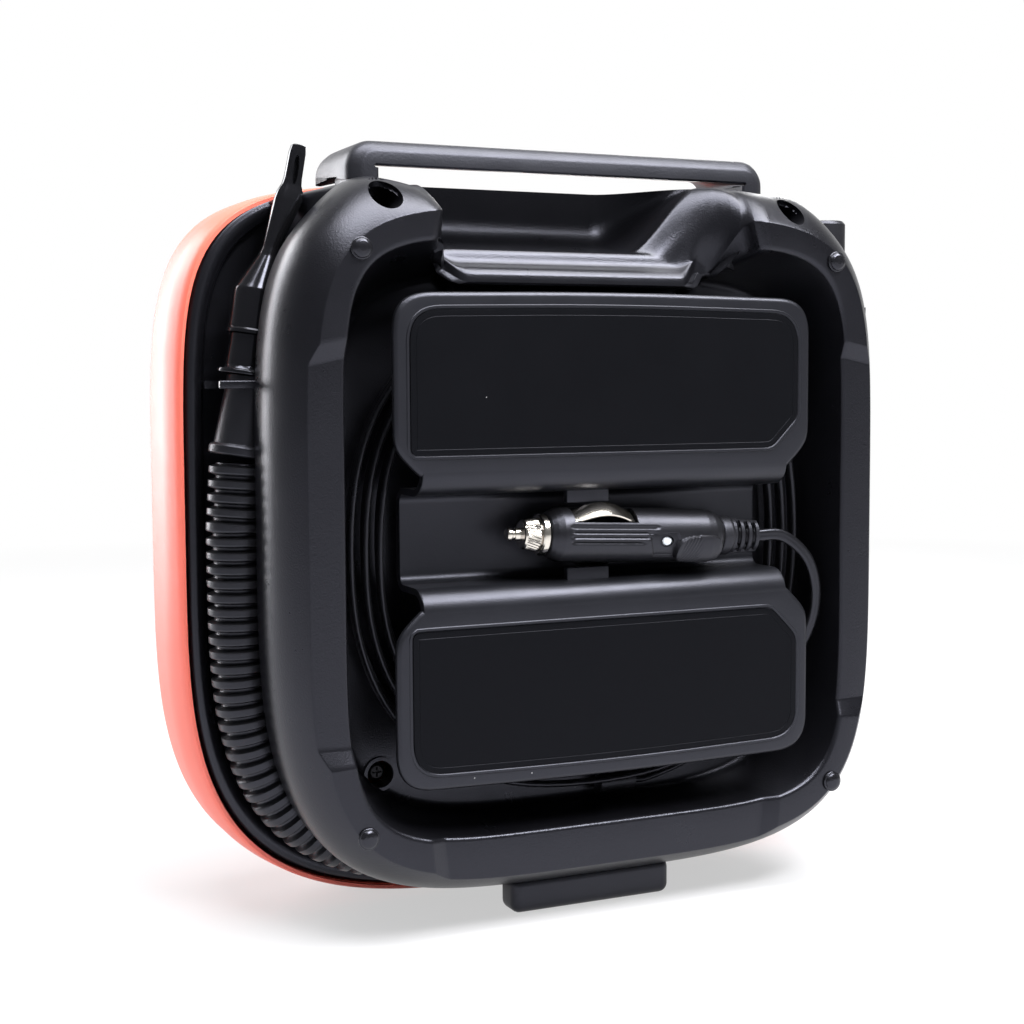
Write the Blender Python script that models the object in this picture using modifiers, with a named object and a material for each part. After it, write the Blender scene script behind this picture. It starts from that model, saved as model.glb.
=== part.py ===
"""Portable tire inflator, built as an assembly in metres with +Z up.

The orange front shell faces -Y and the cord bay faces +Y. The part stands on its foot and two pads at z = 0.
"""

import math
from collections import namedtuple

import bmesh
import bpy
import numpy as np
from mathutils import Matrix, Vector

for old in list(bpy.data.objects):
    bpy.data.objects.remove(old)

MM = 0.001

# Fits shared by every pair of neighbours
CLEAR = 0.3 * MM
RUNNING_CLEAR = 0.4 * MM

# Case outline: the black lip that closes the middle frame, a rounded box with its own corner bends
CASE_HALF_WIDTH = 150 * MM
CASE_BOTTOM = 3.5 * MM
CASE_TOP = 284.5 * MM
CASE_TOP_BEND = 5.6
CASE_BOTTOM_BEND = 3.6
STATIONS = 42

# Middle frame: lip, hose groove and the flange that carries the rear shell
LIP_WIDTH = 6.5 * MM
LIP_FRONT_Y = -8 * MM
GROOVE_FRONT_Y = -5 * MM
GROOVE_SIDE_DEPTH = 31 * MM
GROOVE_BOTTOM_DEPTH = 29.5 * MM
GROOVE_TOP_DEPTH = 27.5 * MM
FRAME_WALL = 3 * MM
HOSE_FRONT_ROOM = 0.7 * MM
FLANGE_THICK = 2.5 * MM
FLANGE_LEAD = 4 * MM
FLANGE_STEP = 6 * MM

# Rear shell: shoulder, rim with recessed pads, cord bay and the hand scoop at the top
REAR_SIDE_INSET = 19 * MM
REAR_BOTTOM_INSET = 2.5 * MM
REAR_TOP_INSET = 0.5 * MM
REAR_WALL = 2.5 * MM
REAR_LAND = 5.5 * MM
RIM_DEPTH = 34.5 * MM
PAD_DEPTH = 6 * MM
PAD_RAMP = 8 * MM
PAD_HALF_HEIGHT = 68 * MM
PAD_HALF_WIDTH = 67 * MM
SHOULDER_INSET = 13 * MM
SHOULDER_POWER = 2.2
RIM_SIDE_INSET = 24 * MM
RIM_BOTTOM_INSET = 31 * MM
BAY_DRAFT = 3 * MM
BAY_TOP_DRAFT = 10.5 * MM
FLOOR_STEP = 0.5 * MM
FLOOR_BAND = 6 * MM
SCOOP_LEFT = 74 * MM
SCOOP_LEFT_RAMP = 8 * MM
SCOOP_RIGHT = -68 * MM
SCOOP_RIGHT_RAMP = 42 * MM
SHELF_RISE = 1.2 * MM
NOSE_RADIUS = 7 * MM
NOSE_DEPTH = 19.5 * MM

# Front shell and its control panel
FRONT_WALL = 2.2 * MM
FRONT_EDGE_Y = -0.8 * MM
FRONT_BULGE = 3.5 * MM
FRONT_BULGE_Y = -32 * MM
FRONT_FACE_Y = -59.5 * MM
FRONT_ROUND = 50 * MM
PANEL_THICK = 2.5 * MM
POST_RADIUS = 6 * MM
POST_SIDE_INSET = 66 * MM
POST_RISE = 54.5 * MM
POST_FLOOR_ROOM = 6 * MM

# Handle
HANDLE_HALF_LENGTH = 92 * MM
HANDLE_FRONT_Y = -18 * MM
HANDLE_BACK_Y = 23 * MM
HANDLE_TOP_RISE = 14.5 * MM
HANDLE_THICK = 9 * MM
HANDLE_END_RADIUS = 10 * MM
LEG_LENGTH = 14 * MM

# Foot, pads and bumpers
FOOT_HALF_WIDTH = 35 * MM
FOOT_DEPTH = 16.5 * MM
FOOT_HEIGHT = 14.3 * MM
FOOT_PLATE = 13.8 * MM
FOOT_WEB_RISE = 5 * MM
PAD_RADIUS = 9 * MM
PAD_X = 70 * MM
PAD_Y = -26 * MM
BUMPER_RADIUS = 4.4 * MM
BUMPER_HEIGHT = 2.2 * MM
BUMPER_X = 100.9 * MM
BUMPER_TOP_DROP = 29.5 * MM
BUMPER_BOTTOM_RISE = 39.5 * MM

# Case screws
SCREW_HOLE_RADIUS = 4.5 * MM
SCREW_HEAD_RADIUS = 3.6 * MM
SCREW_HEAD_THICK = 2.4 * MM
SCREW_SHANK_RADIUS = 1.6 * MM
SCREW_SHANK_LENGTH = 8 * MM
TOP_SCREW_X = 86 * MM
TOP_SCREW_DROP = 11.5 * MM

# Ribbed hose, its cuff and the pinch nozzle
HOSE_RADIUS = 12 * MM
HOSE_ROOT_RADIUS = 9.4 * MM
HOSE_BORE_RADIUS = 7.6 * MM
RIB_PITCH = 5.2 * MM
HOSE_TOP_DROP = 106.5 * MM
HOSE_END_X = -62 * MM
HOSE_LEAN = math.radians(4)
HOSE_BEND = 3.7
HOSE_STANDOFF = 3.2 * MM
CHAIN_LEAN = math.radians(9.5)
CUFF_LENGTH = 30 * MM
CUFF_COLLAR = 4 * MM
CUFF_BASE_RADIUS = 11 * MM
CUFF_TOP_RADIUS = 9.2 * MM
ADAPTER_RADIUS = 6.6 * MM
ADAPTER_LENGTH = 15 * MM
SPIGOT_RADIUS = 5 * MM
SPIGOT_LENGTH = 11 * MM
NOZZLE_RADIUS = 9.2 * MM
NOZZLE_BODY = 17 * MM
NOZZLE_CONE = 14 * MM
NOZZLE_TUBE = 22 * MM
NOZZLE_TIP = 20 * MM
NOZZLE_TUBE_RADIUS = 4.3 * MM
NOZZLE_TIP_THICK = 4.6 * MM
NOZZLE_BORE_RADIUS = 2.2 * MM
SLIT_WIDTH = 1 * MM
CLIP_THICK = 3 * MM
SOCKET_WALL = 0.6 * MM
SOCKET_LENGTH = 26 * MM

# Air hose and tire chuck in the right-hand groove
AIR_HOSE_RADIUS = 4.5 * MM
AIR_ELBOW_DROP = 60 * MM
AIR_ELBOW_RADIUS = 6.5 * MM
AIR_ELBOW_LENGTH = 18 * MM
AIR_HOSE_INSET = 21.6 * MM
CHUCK_TOP_DROP = 8.5 * MM
CHUCK_HEAD_RADIUS = 8.8 * MM
CHUCK_HEAD_LENGTH = 46 * MM
CHUCK_BODY_RADIUS = 7.5 * MM
CHUCK_LENGTH = 92 * MM
CHUCK_MOUTH_RADIUS = 5 * MM
CHUCK_MOUTH_DEPTH = 14 * MM
LUG_WIDTH = 4 * MM
LEVER_WIDTH = 12 * MM
LEVER_LENGTH = 40 * MM
LEVER_THICK = 2.4 * MM
LEVER_PIN_RADIUS = 1.5 * MM

# Cord spool: two plates, the plug trough between them and the core behind
SPOOL_Z = 149 * MM
PLATE_MARGIN = 18 * MM
PLATE_FAR = 92.5 * MM
PLATE_ARCH = 1.5 * MM
PLATE_CORNER = 15 * MM
PLATE_THICK = 3 * MM
NECK_ROOM = 5.5 * MM
TROUGH_ROOM = 6.6 * MM
TROUGH_UNDER = 4.1 * MM
ROLL_RADIUS = 9 * MM
SPOOL_WALL = 2.5 * MM
CORE_HALF_WIDTH = 56 * MM
CORE_FAR = 55 * MM
TAB_WIDTH = 18 * MM
TAB_X = 7.4 * MM
TAB_REACH = 4.6 * MM
TAB_THICK = 3.4 * MM
LABEL_MARGIN = 6 * MM
LABEL_NEAR = 32 * MM
LABEL_CHAMFER = 12 * MM
LABEL_THICK = 0.4 * MM
LABEL_SINK = 0.7 * MM

# Accessory plug, lying in the trough with its tip a little high
PLUG_TIP_X = 41 * MM
PLUG_SINK = 10.5 * MM
PLUG_Z = 150.3 * MM
PLUG_TILT = math.radians(2.7)
PIN_LENGTH = 6 * MM
PIN_RADIUS = 2.6 * MM
PIN_STEM_RADIUS = 1.8 * MM
PIN_TRAVEL = 3 * MM
NUT_LENGTH = 9.7 * MM
NUT_RADIUS = 8 * MM
NUT_BORE_RADIUS = 4.6 * MM
BARREL_RADIUS = 10.4 * MM
BARREL_LENGTH = 76 * MM
BARREL_BORE_RADIUS = 3.6 * MM
BARREL_BORE_LENGTH = 40 * MM
COLLAR_LENGTH = 5.5 * MM
RELIEF_LENGTH = 14 * MM
RELIEF_RADIUS = 5.2 * MM
CONTACT_LENGTH = 26 * MM
CONTACT_WIDTH = 8 * MM
CONTACT_RISE = 4 * MM
CONTACT_THICK = 0.8 * MM
CONTACT_FROM_SHOULDER = 9.5 * MM
CONTACT_TRAVEL = 1.5 * MM
CONTACT_SEAT_RADIUS = 9.3 * MM
CONTACT_LEAN = math.radians(35)
FUSE_RADIUS = 3 * MM
FUSE_LENGTH = 30 * MM
LED_RADIUS = 1.6 * MM

# Cord: wound on the spool in two layers, then a lead to the plug
CORD_DIAMETER = 4.8 * MM
WIND_SIDE_ROOM = 6 * MM
WIND_HALF_HEIGHT = 97 * MM
WIND_Z = 145 * MM
WIND_BEND = 2.4
WIND_TURNS = 3
WIND_STEP = 5.7 * MM
WIND_FLOOR_ROOM = 5.5 * MM
WIND_LAYER = 6 * MM
LOOP_POINTS = 24
WIND_START = math.radians(258)
WIND_END = math.radians(222)
WIND_LEAD_OUT = 4 * MM
GLAND_RADIUS = 3.8 * MM
GLAND_LENGTH = 16 * MM

# Compressor
FRAME_PLATE_Z = 124 * MM
FRAME_PLATE_THICK = 4 * MM
MOTOR_X = 48 * MM
MOTOR_Y = -18 * MM
MOTOR_RADIUS = 21 * MM
MOTOR_LENGTH = 62 * MM
SHAFT_RADIUS = 1.6 * MM
GEAR_MODULE = 1 * MM
PINION_TEETH = 12
CRANK_TEETH = 44
GEAR_WIDTH = 8 * MM
GEAR_GAP = 0.2 * MM
AXLE_RADIUS = 3 * MM
CRANK_RADIUS = 8 * MM
CRANK_PIN_RADIUS = 3 * MM
CRANK_PIN_LENGTH = 3.4 * MM
ROD_LENGTH = 40 * MM
ROD_THICK = 6 * MM
ROD_EYE_RADIUS = 7 * MM
PISTON_RADIUS = 12.6 * MM
PISTON_THICK = 8 * MM
BARREL_WALL = 2.2 * MM
FIN_COUNT = 4
FIN_HEIGHT = 2.6 * MM
HEAD_THICK = 11 * MM

# Blower for high volume
BLOWER_X = -50 * MM
BLOWER_Z = 90 * MM
BLOWER_RADIUS = 30 * MM
BLOWER_DEPTH = 26 * MM
BLOWER_WALL = 2 * MM
IMPELLER_RADIUS = 25 * MM
IMPELLER_WIDTH = 13 * MM
IMPELLER_BLADES = 8
HUB_RADIUS = 4 * MM
INLET_RADIUS = 13 * MM
BLOWER_MOTOR_RADIUS = 13 * MM
BLOWER_MOTOR_LENGTH = 40 * MM
DUCT_RADIUS = 8 * MM

# Controls on the front panel
PANEL_INSET = 53 * MM
BUTTON_RADIUS = 8 * MM
BUTTON_PITCH = 32 * MM
BUTTON_Z = 165 * MM
BUTTON_PROUD = 1.6 * MM
BUTTON_TRAVEL = 1.2 * MM
LENS_WIDTH = 70 * MM
LENS_HEIGHT = 28 * MM
LENS_Z = 205 * MM
KNOB_RADIUS = 18 * MM
KNOB_PROUD = 2.2 * MM
KNOB_Z = 105 * MM
BOARD_WIDTH = 116 * MM
BOARD_HEIGHT = 84 * MM
BOARD_THICK = 1.6 * MM
BOARD_GAP = 7 * MM
BOARD_POST_RADIUS = 3 * MM

# Depths along Y that follow from the hose in its groove
FLANGE_Y = HOSE_FRONT_ROOM + 2 * HOSE_RADIUS + 2 * RUNNING_CLEAR
BAY_FLOOR_Y = FLANGE_Y + FLOOR_STEP
RIM_Y = FLANGE_Y + RIM_DEPTH
NOSE_BACK_Y = FLANGE_Y + NOSE_DEPTH
FOOT_BACK_Y = FLANGE_Y + FOOT_DEPTH
POST_END_Y = BAY_FLOOR_Y - POST_FLOOR_ROOM
PLUG_Y = RIM_Y - PLUG_SINK
TROUGH_FLOOR_Y = PLUG_Y - BARREL_RADIUS - TROUGH_UNDER
SOCKET_RADIUS = HOSE_RADIUS + SOCKET_WALL

parts = bpy.data.collections.new("portable_tire_inflator")
cutters = bpy.data.collections.new("cutters")
bpy.context.scene.collection.children.link(parts)
bpy.context.scene.collection.children.link(cutters)


def material(name, colour, roughness, metallic):
    made = bpy.data.materials.new(name)
    made.use_nodes = True
    shader = made.node_tree.nodes["Principled BSDF"]
    shader.inputs["Base Color"].default_value = (*colour, 1)
    shader.inputs["Roughness"].default_value = roughness
    shader.inputs["Metallic"].default_value = metallic
    return made


# Finishes: colour, roughness and metallic value

ORANGE = (0.8, 0.1, 0.02), 0.4, 0.0
BLACK = (0.02, 0.021, 0.024), 0.45, 0.0
SLATE = (0.035, 0.037, 0.042), 0.5, 0.0
RUBBER = (0.012, 0.012, 0.013), 0.6, 0.0
GLOSS = (0.012, 0.012, 0.014), 0.25, 0.0
NICKEL = (0.75, 0.73, 0.68), 0.2, 1.0
STEEL = (0.55, 0.56, 0.58), 0.35, 1.0
CAST = (0.6, 0.6, 0.61), 0.5, 1.0
NYLON = (0.75, 0.74, 0.7), 0.5, 0.0
BOARD = (0.02, 0.16, 0.06), 0.5, 0.0
GLASS = (0.05, 0.06, 0.06), 0.1, 0.0
RED_LENS = (0.4, 0.02, 0.02), 0.15, 0.0


def place(name, mesh, finish, location=(0, 0, 0), rotation=(0, 0, 0), parent=None, helper=False):
    """An object of the assembly or, as a helper, of the cutters."""
    made = bpy.data.objects.new(name, mesh)
    made.location = location
    made.rotation_euler = rotation
    made.parent = parent
    if helper:
        cutters.objects.link(made)
        made.hide_render = True
        made.display_type = "WIRE"
    else:
        parts.objects.link(made)
    if finish and not mesh.materials:
        mesh.materials.append(material(name + "_finish", *finish))
    return made


def box_mesh(low, high):
    mesh = bpy.data.meshes.new("box")
    work = bmesh.new()
    size = Vector(high) - Vector(low)
    middle = (Vector(high) + Vector(low)) / 2
    bmesh.ops.create_cube(work, size=1, matrix=Matrix.Translation(middle) @ Matrix.Diagonal((*size, 1)))
    work.to_mesh(mesh)
    work.free()
    return mesh


def rod_mesh(radius, low, high, axis="Z", sides=16):
    """A cylinder along one axis of its object, from low to high."""
    mesh = bpy.data.meshes.new("rod")
    work = bmesh.new()
    turn = {"X": Matrix.Rotation(math.pi / 2, 4, "Y"), "Y": Matrix.Rotation(-math.pi / 2, 4, "X"),
            "Z": Matrix()}
    lift = Matrix.Translation((0, 0, (low + high) / 2))
    bmesh.ops.create_cone(work, cap_ends=True, segments=sides, radius1=radius, radius2=radius,
                          depth=high - low, matrix=turn[axis] @ lift)
    work.to_mesh(mesh)
    work.free()
    mesh.shade_smooth()
    mesh.set_sharp_from_angle(angle=math.radians(40))
    return mesh


def turned(name, profile, finish, location, rotation=(0, 0, 0), parent=None, ring=False, steps=16,
           helper=False):
    """A turned piece: (radius, height) points down its outer side, about its own Z; a ring closes."""
    mesh = bpy.data.meshes.new(name)
    points = [(radius, 0, height) for radius, height in profile]
    edges = [(i, i + 1) for i in range(len(points) - 1)]
    if ring:
        edges.append((len(points) - 1, 0))
    mesh.from_pydata(points, edges, [])
    made = place(name, mesh, finish, location, rotation, parent, helper)
    screw = made.modifiers.new("turn", "SCREW")
    screw.steps = steps
    screw.render_steps = steps
    screw.use_merge_vertices = True
    screw.merge_threshold = 0.00001
    screw.use_smooth_shade = True
    return made


def mesh_of(made):
    """The evaluated mesh of a curve, with its caps welded, in place of the curve."""
    bpy.context.view_layer.update()
    graph = bpy.context.evaluated_depsgraph_get()
    mesh = bpy.data.meshes.new_from_object(made.evaluated_get(graph))
    work = bmesh.new()
    work.from_mesh(mesh)
    bmesh.ops.remove_doubles(work, verts=work.verts, dist=0.000001)
    bmesh.ops.recalc_face_normals(work, faces=work.faces)
    work.to_mesh(mesh)
    work.free()
    bpy.data.objects.remove(made)
    return mesh


def outline_mesh(loops, half_thick, to_world):
    """A flat outline with holes, given as loops of (u, v), extruded both ways and set by a matrix."""
    curve = bpy.data.curves.new("outline", "CURVE")
    curve.dimensions = "2D"
    curve.fill_mode = "BOTH"
    curve.extrude = half_thick
    for loop in loops:
        spline = curve.splines.new("POLY")
        spline.points.add(len(loop) - 1)
        for point, (u, v) in zip(spline.points, loop):
            point.co = (u, v, 0, 1)
        spline.use_cyclic_u = True
    made = place("outline", curve, None, helper=True)
    mesh = mesh_of(made)
    mesh.transform(to_world)
    if to_world.determinant() < 0:
        mesh.flip_normals()
    return mesh


def tube_mesh(points, radii, resolution):
    """A round tube along points, with one radius at each point."""
    curve = bpy.data.curves.new("tube", "CURVE")
    curve.dimensions = "3D"
    curve.bevel_depth = 1
    curve.bevel_resolution = resolution
    curve.use_fill_caps = True
    spline = curve.splines.new("POLY")
    spline.points.add(len(points) - 1)
    for knot, point, radius in zip(spline.points, points, radii):
        knot.co = (*point, 1)
        knot.radius = radius
    return mesh_of(place("tube", curve, None, helper=True))


def combine(made, other, operation):
    change = made.modifiers.new(operation.lower(), "BOOLEAN")
    change.operation = operation
    change.object = other


def cut(made, mesh, location=(0, 0, 0), rotation=(0, 0, 0), parent=None):
    combine(made, place(made.name + "_cut", mesh, None, location, rotation, parent, True), "DIFFERENCE")


def join(made, mesh, location=(0, 0, 0), rotation=(0, 0, 0), parent=None):
    combine(made, place(made.name + "_join", mesh, None, location, rotation, parent, True), "UNION")


def axis_empty(name, location, rotation=(0, 0, 0), parent=None):
    empty = bpy.data.objects.new(name, None)
    empty.location = location
    empty.rotation_euler = rotation
    empty.parent = parent
    parts.objects.link(empty)
    return empty


def arc(centre, radius, start, end, count):
    """Points on a circular arc, both ends included, with angles in degrees."""
    angles = [math.radians(start + (end - start) * i / (count - 1)) for i in range(count)]
    return [(centre[0] + radius * math.cos(a), centre[1] + radius * math.sin(a)) for a in angles]


def circle(centre, radius, count=16):
    return arc(centre, radius, 0, 360 * (count - 1) / count, count)


# Case outlines: rounded boxes that nest, read at the same station angles so that their facets line up

Ring = namedtuple("Ring", "half_width bottom top top_bend bottom_bend")
LIP = Ring(CASE_HALF_WIDTH, CASE_BOTTOM, CASE_TOP, CASE_TOP_BEND, CASE_BOTTOM_BEND)
GROOVE = Ring(CASE_HALF_WIDTH - GROOVE_SIDE_DEPTH, CASE_BOTTOM + GROOVE_BOTTOM_DEPTH,
              CASE_TOP - GROOVE_TOP_DEPTH, 4.6, 3.8)
REAR_EDGE = Ring(CASE_HALF_WIDTH - REAR_SIDE_INSET, CASE_BOTTOM + REAR_BOTTOM_INSET,
                 CASE_TOP - REAR_TOP_INSET, 4.8, 4.1)


def inset(ring, side, bottom=None, top=None, top_bend=None, bottom_bend=None):
    bottom = side if bottom is None else bottom
    top = side if top is None else top
    return Ring(ring.half_width - side, ring.bottom + bottom, ring.top - top,
                top_bend or ring.top_bend, bottom_bend or ring.bottom_bend)


def outline(ring, angle):
    """The (x, z) point of a ring at a station angle, 0 at +X and a quarter turn at the top."""
    middle, half = (ring.top + ring.bottom) / 2, (ring.top - ring.bottom) / 2
    across, up = math.cos(angle), math.sin(angle)
    bend = ring.top_bend if up > 0 else ring.bottom_bend
    x = math.copysign(abs(across) ** (2 / bend), across) * ring.half_width
    return x, middle + math.copysign(abs(up) ** (2 / bend), up) * half


def height_at(ring, x, top):
    """The height of a ring's top or bottom run at x."""
    middle, half = (ring.top + ring.bottom) / 2, (ring.top - ring.bottom) / 2
    bend = ring.top_bend if top else ring.bottom_bend
    rise = half * (1 - min(1, abs(x) / ring.half_width) ** bend) ** (1 / bend)
    return middle + rise if top else middle - rise


def width_at(ring, z):
    """The half-width of a ring at height z."""
    middle, half = (ring.top + ring.bottom) / 2, (ring.top - ring.bottom) / 2
    bend = ring.top_bend if z > middle else ring.bottom_bend
    return ring.half_width * (1 - min(1, abs(z - middle) / half) ** bend) ** (1 / bend)


def angle_at_x(ring, x, top):
    bend = ring.top_bend if top else ring.bottom_bend
    lean = math.acos(min(1, abs(x) / ring.half_width) ** (bend / 2))
    lean = lean if x > 0 else math.pi - lean
    return lean if top else 2 * math.pi - lean


def angle_at_z(ring, z, positive_x):
    middle, half = (ring.top + ring.bottom) / 2, (ring.top - ring.bottom) / 2
    bend = ring.top_bend if z > middle else ring.bottom_bend
    lean = math.copysign(math.asin(min(1, abs(z - middle) / half) ** (bend / 2)), z - middle)
    return (lean if positive_x else math.pi - lean) % (2 * math.pi)


def even_angles(ring, count, fine=2000):
    """Station angles at even steps along a ring."""
    angles = np.linspace(0, 2 * math.pi, fine)
    points = np.array([outline(ring, a) for a in angles])
    walked = np.concatenate([[0], np.cumsum(np.linalg.norm(np.diff(points, axis=0), axis=1))])
    return list(np.interp(np.linspace(0, walked[-1], count, endpoint=False), walked, angles))


CREASE = inset(REAR_EDGE, SHOULDER_INSET, top_bend=5.4, bottom_bend=4.6)
PAD_MIDDLE_Z = (CREASE.top + CREASE.bottom) / 2


def station_angles():
    """Even stations, with marks where the pads' ramps and the hand scoop begin and end."""
    marks = []
    for reach in (PAD_HALF_HEIGHT, PAD_HALF_HEIGHT + PAD_RAMP):
        for z in (PAD_MIDDLE_Z - reach, PAD_MIDDLE_Z + reach):
            marks += [angle_at_z(CREASE, z, True), angle_at_z(CREASE, z, False)]
    for reach in (PAD_HALF_WIDTH, PAD_HALF_WIDTH + PAD_RAMP):
        marks += [angle_at_x(CREASE, reach, False), angle_at_x(CREASE, -reach, False)]
    scoop = [SCOOP_LEFT, SCOOP_LEFT - SCOOP_LEFT_RAMP / 2, SCOOP_LEFT - SCOOP_LEFT_RAMP]
    scoop += [SCOOP_RIGHT + SCOOP_RIGHT_RAMP * i / 3 for i in range(4)]
    for reach in (FLANGE_LEAD, FLANGE_LEAD + FLANGE_STEP):
        scoop += [SCOOP_LEFT + reach, SCOOP_RIGHT - reach]
    marks += [angle_at_x(REAR_EDGE, x, True) for x in scoop]
    near = 0.4 * 2 * math.pi / STATIONS
    apart = [a for a in even_angles(LIP, STATIONS) if min(abs(a - mark) for mark in marks) > near / 2]
    return sorted(apart + marks)


ANGLES = station_angles()


def smooth(share):
    share = min(1, max(0, share))
    return share * share * (3 - 2 * share)


def scoop_share(angle):
    """1 where the rim gives way to the hand scoop, 0 where the rim is whole."""
    if math.sin(angle) <= 0:
        return 0
    x = outline(REAR_EDGE, angle)[0]
    return smooth((SCOOP_LEFT - x) / SCOOP_LEFT_RAMP) * smooth((x - SCOOP_RIGHT) / SCOOP_RIGHT_RAMP)


def flange_drop(angle):
    """1 where the frame's flange drops to the groove floor, which starts a little before the hand scoop."""
    if math.sin(angle) <= 0:
        return 0
    x = outline(REAR_EDGE, angle)[0]
    clear = FLANGE_LEAD + FLANGE_STEP
    left, right = (SCOOP_LEFT + clear - x) / FLANGE_STEP, (x - SCOOP_RIGHT + clear) / FLANGE_STEP
    return min(1, max(0, left)) * min(1, max(0, right))


def pad_share(angle):
    """1 on the recessed pads of the sides and the bottom, 0 on the corners."""
    x, z = outline(CREASE, angle)
    side = (PAD_HALF_HEIGHT + PAD_RAMP - abs(z - PAD_MIDDLE_Z)) / PAD_RAMP
    bottom = (PAD_HALF_WIDTH + PAD_RAMP - abs(x)) / PAD_RAMP if math.sin(angle) < 0 else 0
    return min(1, max(0, side, bottom))


def loft(rings, cap=False, start_cap=False, closed=False, flip=False):
    """Faces between matching rings of points; an end may be capped, or the last run into the first."""
    mesh = bpy.data.meshes.new("loft")
    work = bmesh.new()
    loops = [[work.verts.new(point) for point in ring] for ring in rings]
    pairs = list(zip(loops, loops[1:]))
    if closed:
        pairs.append((loops[-1], loops[0]))
    for first, second in pairs:
        for i in range(len(first)):
            j = (i + 1) % len(first)
            work.faces.new((first[i], second[i], second[j], first[j]))
    if cap:
        work.faces.new(loops[-1][::-1])
    if start_cap:
        work.faces.new(loops[0])
    if flip:
        bmesh.ops.reverse_faces(work, faces=work.faces)
    work.to_mesh(mesh)
    work.free()
    mesh.shade_smooth()
    mesh.set_sharp_from_angle(angle=math.radians(30))
    return mesh


def ring_points(ring, y):
    points = [outline(ring, angle) for angle in ANGLES]
    return [(x, y, z) for x, z in points]


# Rear shell

SHELF_Z = GROOVE.top + SHELF_RISE
REAR_LAND_Y = FLANGE_Y + REAR_LAND
RIM_INNER = inset(REAR_EDGE, RIM_SIDE_INSET, bottom=RIM_BOTTOM_INSET, top_bend=7, bottom_bend=6)
BAY_FOOT = inset(RIM_INNER, BAY_DRAFT, top=BAY_TOP_DRAFT, top_bend=5, bottom_bend=4.4)


def nose(degrees):
    """(height, y) of the shelf's rounded back edge."""
    lean = math.radians(degrees)
    return (SHELF_Z - NOSE_RADIUS + NOSE_RADIUS * math.sin(lean),
            NOSE_BACK_Y - NOSE_RADIUS + NOSE_RADIUS * math.cos(lean))


def rear_section(angle):
    """One section of the rear shell, from its front edge over the rim to the bay floor."""
    crease_y = RIM_Y - PAD_DEPTH * pad_share(angle)
    share = scoop_share(angle)
    shoulder = crease_y - REAR_LAND_Y
    whole = RIM_Y - REAR_LAND_Y
    rim = [(REAR_EDGE, FLANGE_Y), (REAR_EDGE, REAR_LAND_Y)]
    for step in (0.45, 0.75, 1):
        depth = shoulder * step
        bend = depth / whole
        rim.append((inset(REAR_EDGE, SHOULDER_INSET * bend ** SHOULDER_POWER,
                          top_bend=4.8 + 0.6 * bend, bottom_bend=4.1 + 0.5 * bend), REAR_LAND_Y + depth))
    drawn_in = BAY_DRAFT * (RIM_Y - crease_y) / (RIM_Y - BAY_FLOOR_Y)
    rim += [(inset(RIM_INNER, drawn_in), crease_y), (BAY_FOOT, BAY_FLOOR_Y),
            (inset(BAY_FOOT, FLOOR_BAND), BAY_FLOOR_Y)]
    shelf = [(SHELF_Z, FLANGE_Y + FLANGE_THICK + CLEAR), (SHELF_Z, REAR_LAND_Y)]
    shelf += [nose(degrees) for degrees in (90, 50, 15, -25)]
    foot_z = SHELF_Z - 2 * NOSE_RADIUS
    shelf += [(foot_z, BAY_FLOOR_Y), (foot_z - FLOOR_BAND, BAY_FLOOR_Y)]
    section = []
    for (ring, y), (shelf_z, shelf_y) in zip(rim, shelf):
        x, z = outline(ring, angle)
        section.append((x, y + (shelf_y - y) * share, z + (shelf_z - z) * share))
    return section


def rear_shell():
    sections = [rear_section(angle) for angle in ANGLES]
    made = place("rear_shell", loft(list(zip(*sections)), cap=True), BLACK)
    wall = made.modifiers.new("wall", "SOLIDIFY")
    wall.thickness = REAR_WALL
    wall.offset = -1
    for side in (1, -1):
        cut(made, rod_mesh(SCREW_HOLE_RADIUS, FLANGE_Y + FLANGE_THICK, RIM_Y + BUMPER_HEIGHT, "Y", 16),
            (side * TOP_SCREW_X, 0, CASE_TOP - TOP_SCREW_DROP))
        cut(made, rod_mesh(SCREW_HOLE_RADIUS, POST_END_Y, RIM_Y, "Y", 16), (side * POST_X, 0, POST_Z))
    cut(made, foot_room())
    return made


# Middle frame

FLANGE_EDGE = inset(REAR_EDGE, REAR_WALL + RUNNING_CLEAR)
FRAME_INNER = inset(GROOVE, FRAME_WALL)
HOSE_Y = FLANGE_Y - HOSE_RADIUS - 2 * RUNNING_CLEAR


def flange_points(y):
    """The flange's edge under the rear shell, drawn in to the groove floor along the hand scoop."""
    points = []
    least = inset(GROOVE, -0.6 * MM)
    for angle in ANGLES:
        share = flange_drop(angle)
        (x, z), (low_x, low_z) = outline(FLANGE_EDGE, angle), outline(least, angle)
        points.append((x + (low_x - x) * share, y, z + (low_z - z) * share))
    return points


def mid_frame():
    back_y = FLANGE_Y + FLANGE_THICK
    lip_inner = inset(LIP, LIP_WIDTH)
    rings = [
        ring_points(LIP, 0),
        ring_points(lip_inner, 0),
        ring_points(lip_inner, GROOVE_FRONT_Y),
        ring_points(GROOVE, GROOVE_FRONT_Y),
        ring_points(GROOVE, FLANGE_Y),
        flange_points(FLANGE_Y),
        flange_points(back_y),
        ring_points(FRAME_INNER, back_y),
        ring_points(FRAME_INNER, LIP_FRONT_Y),
        ring_points(LIP, LIP_FRONT_Y),
    ]
    made = place("mid_frame", loft(rings, closed=True, flip=True), BLACK)
    for side in (1, -1):
        cut(made, rod_mesh(SCREW_SHANK_RADIUS + CLEAR, FLANGE_Y - 1 * MM, back_y + 1 * MM, "Y", 12),
            (side * TOP_SCREW_X, 0, CASE_TOP - TOP_SCREW_DROP))
    cut(made, foot_room())
    combine(made, hose_clip(), "UNION")
    return made


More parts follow.
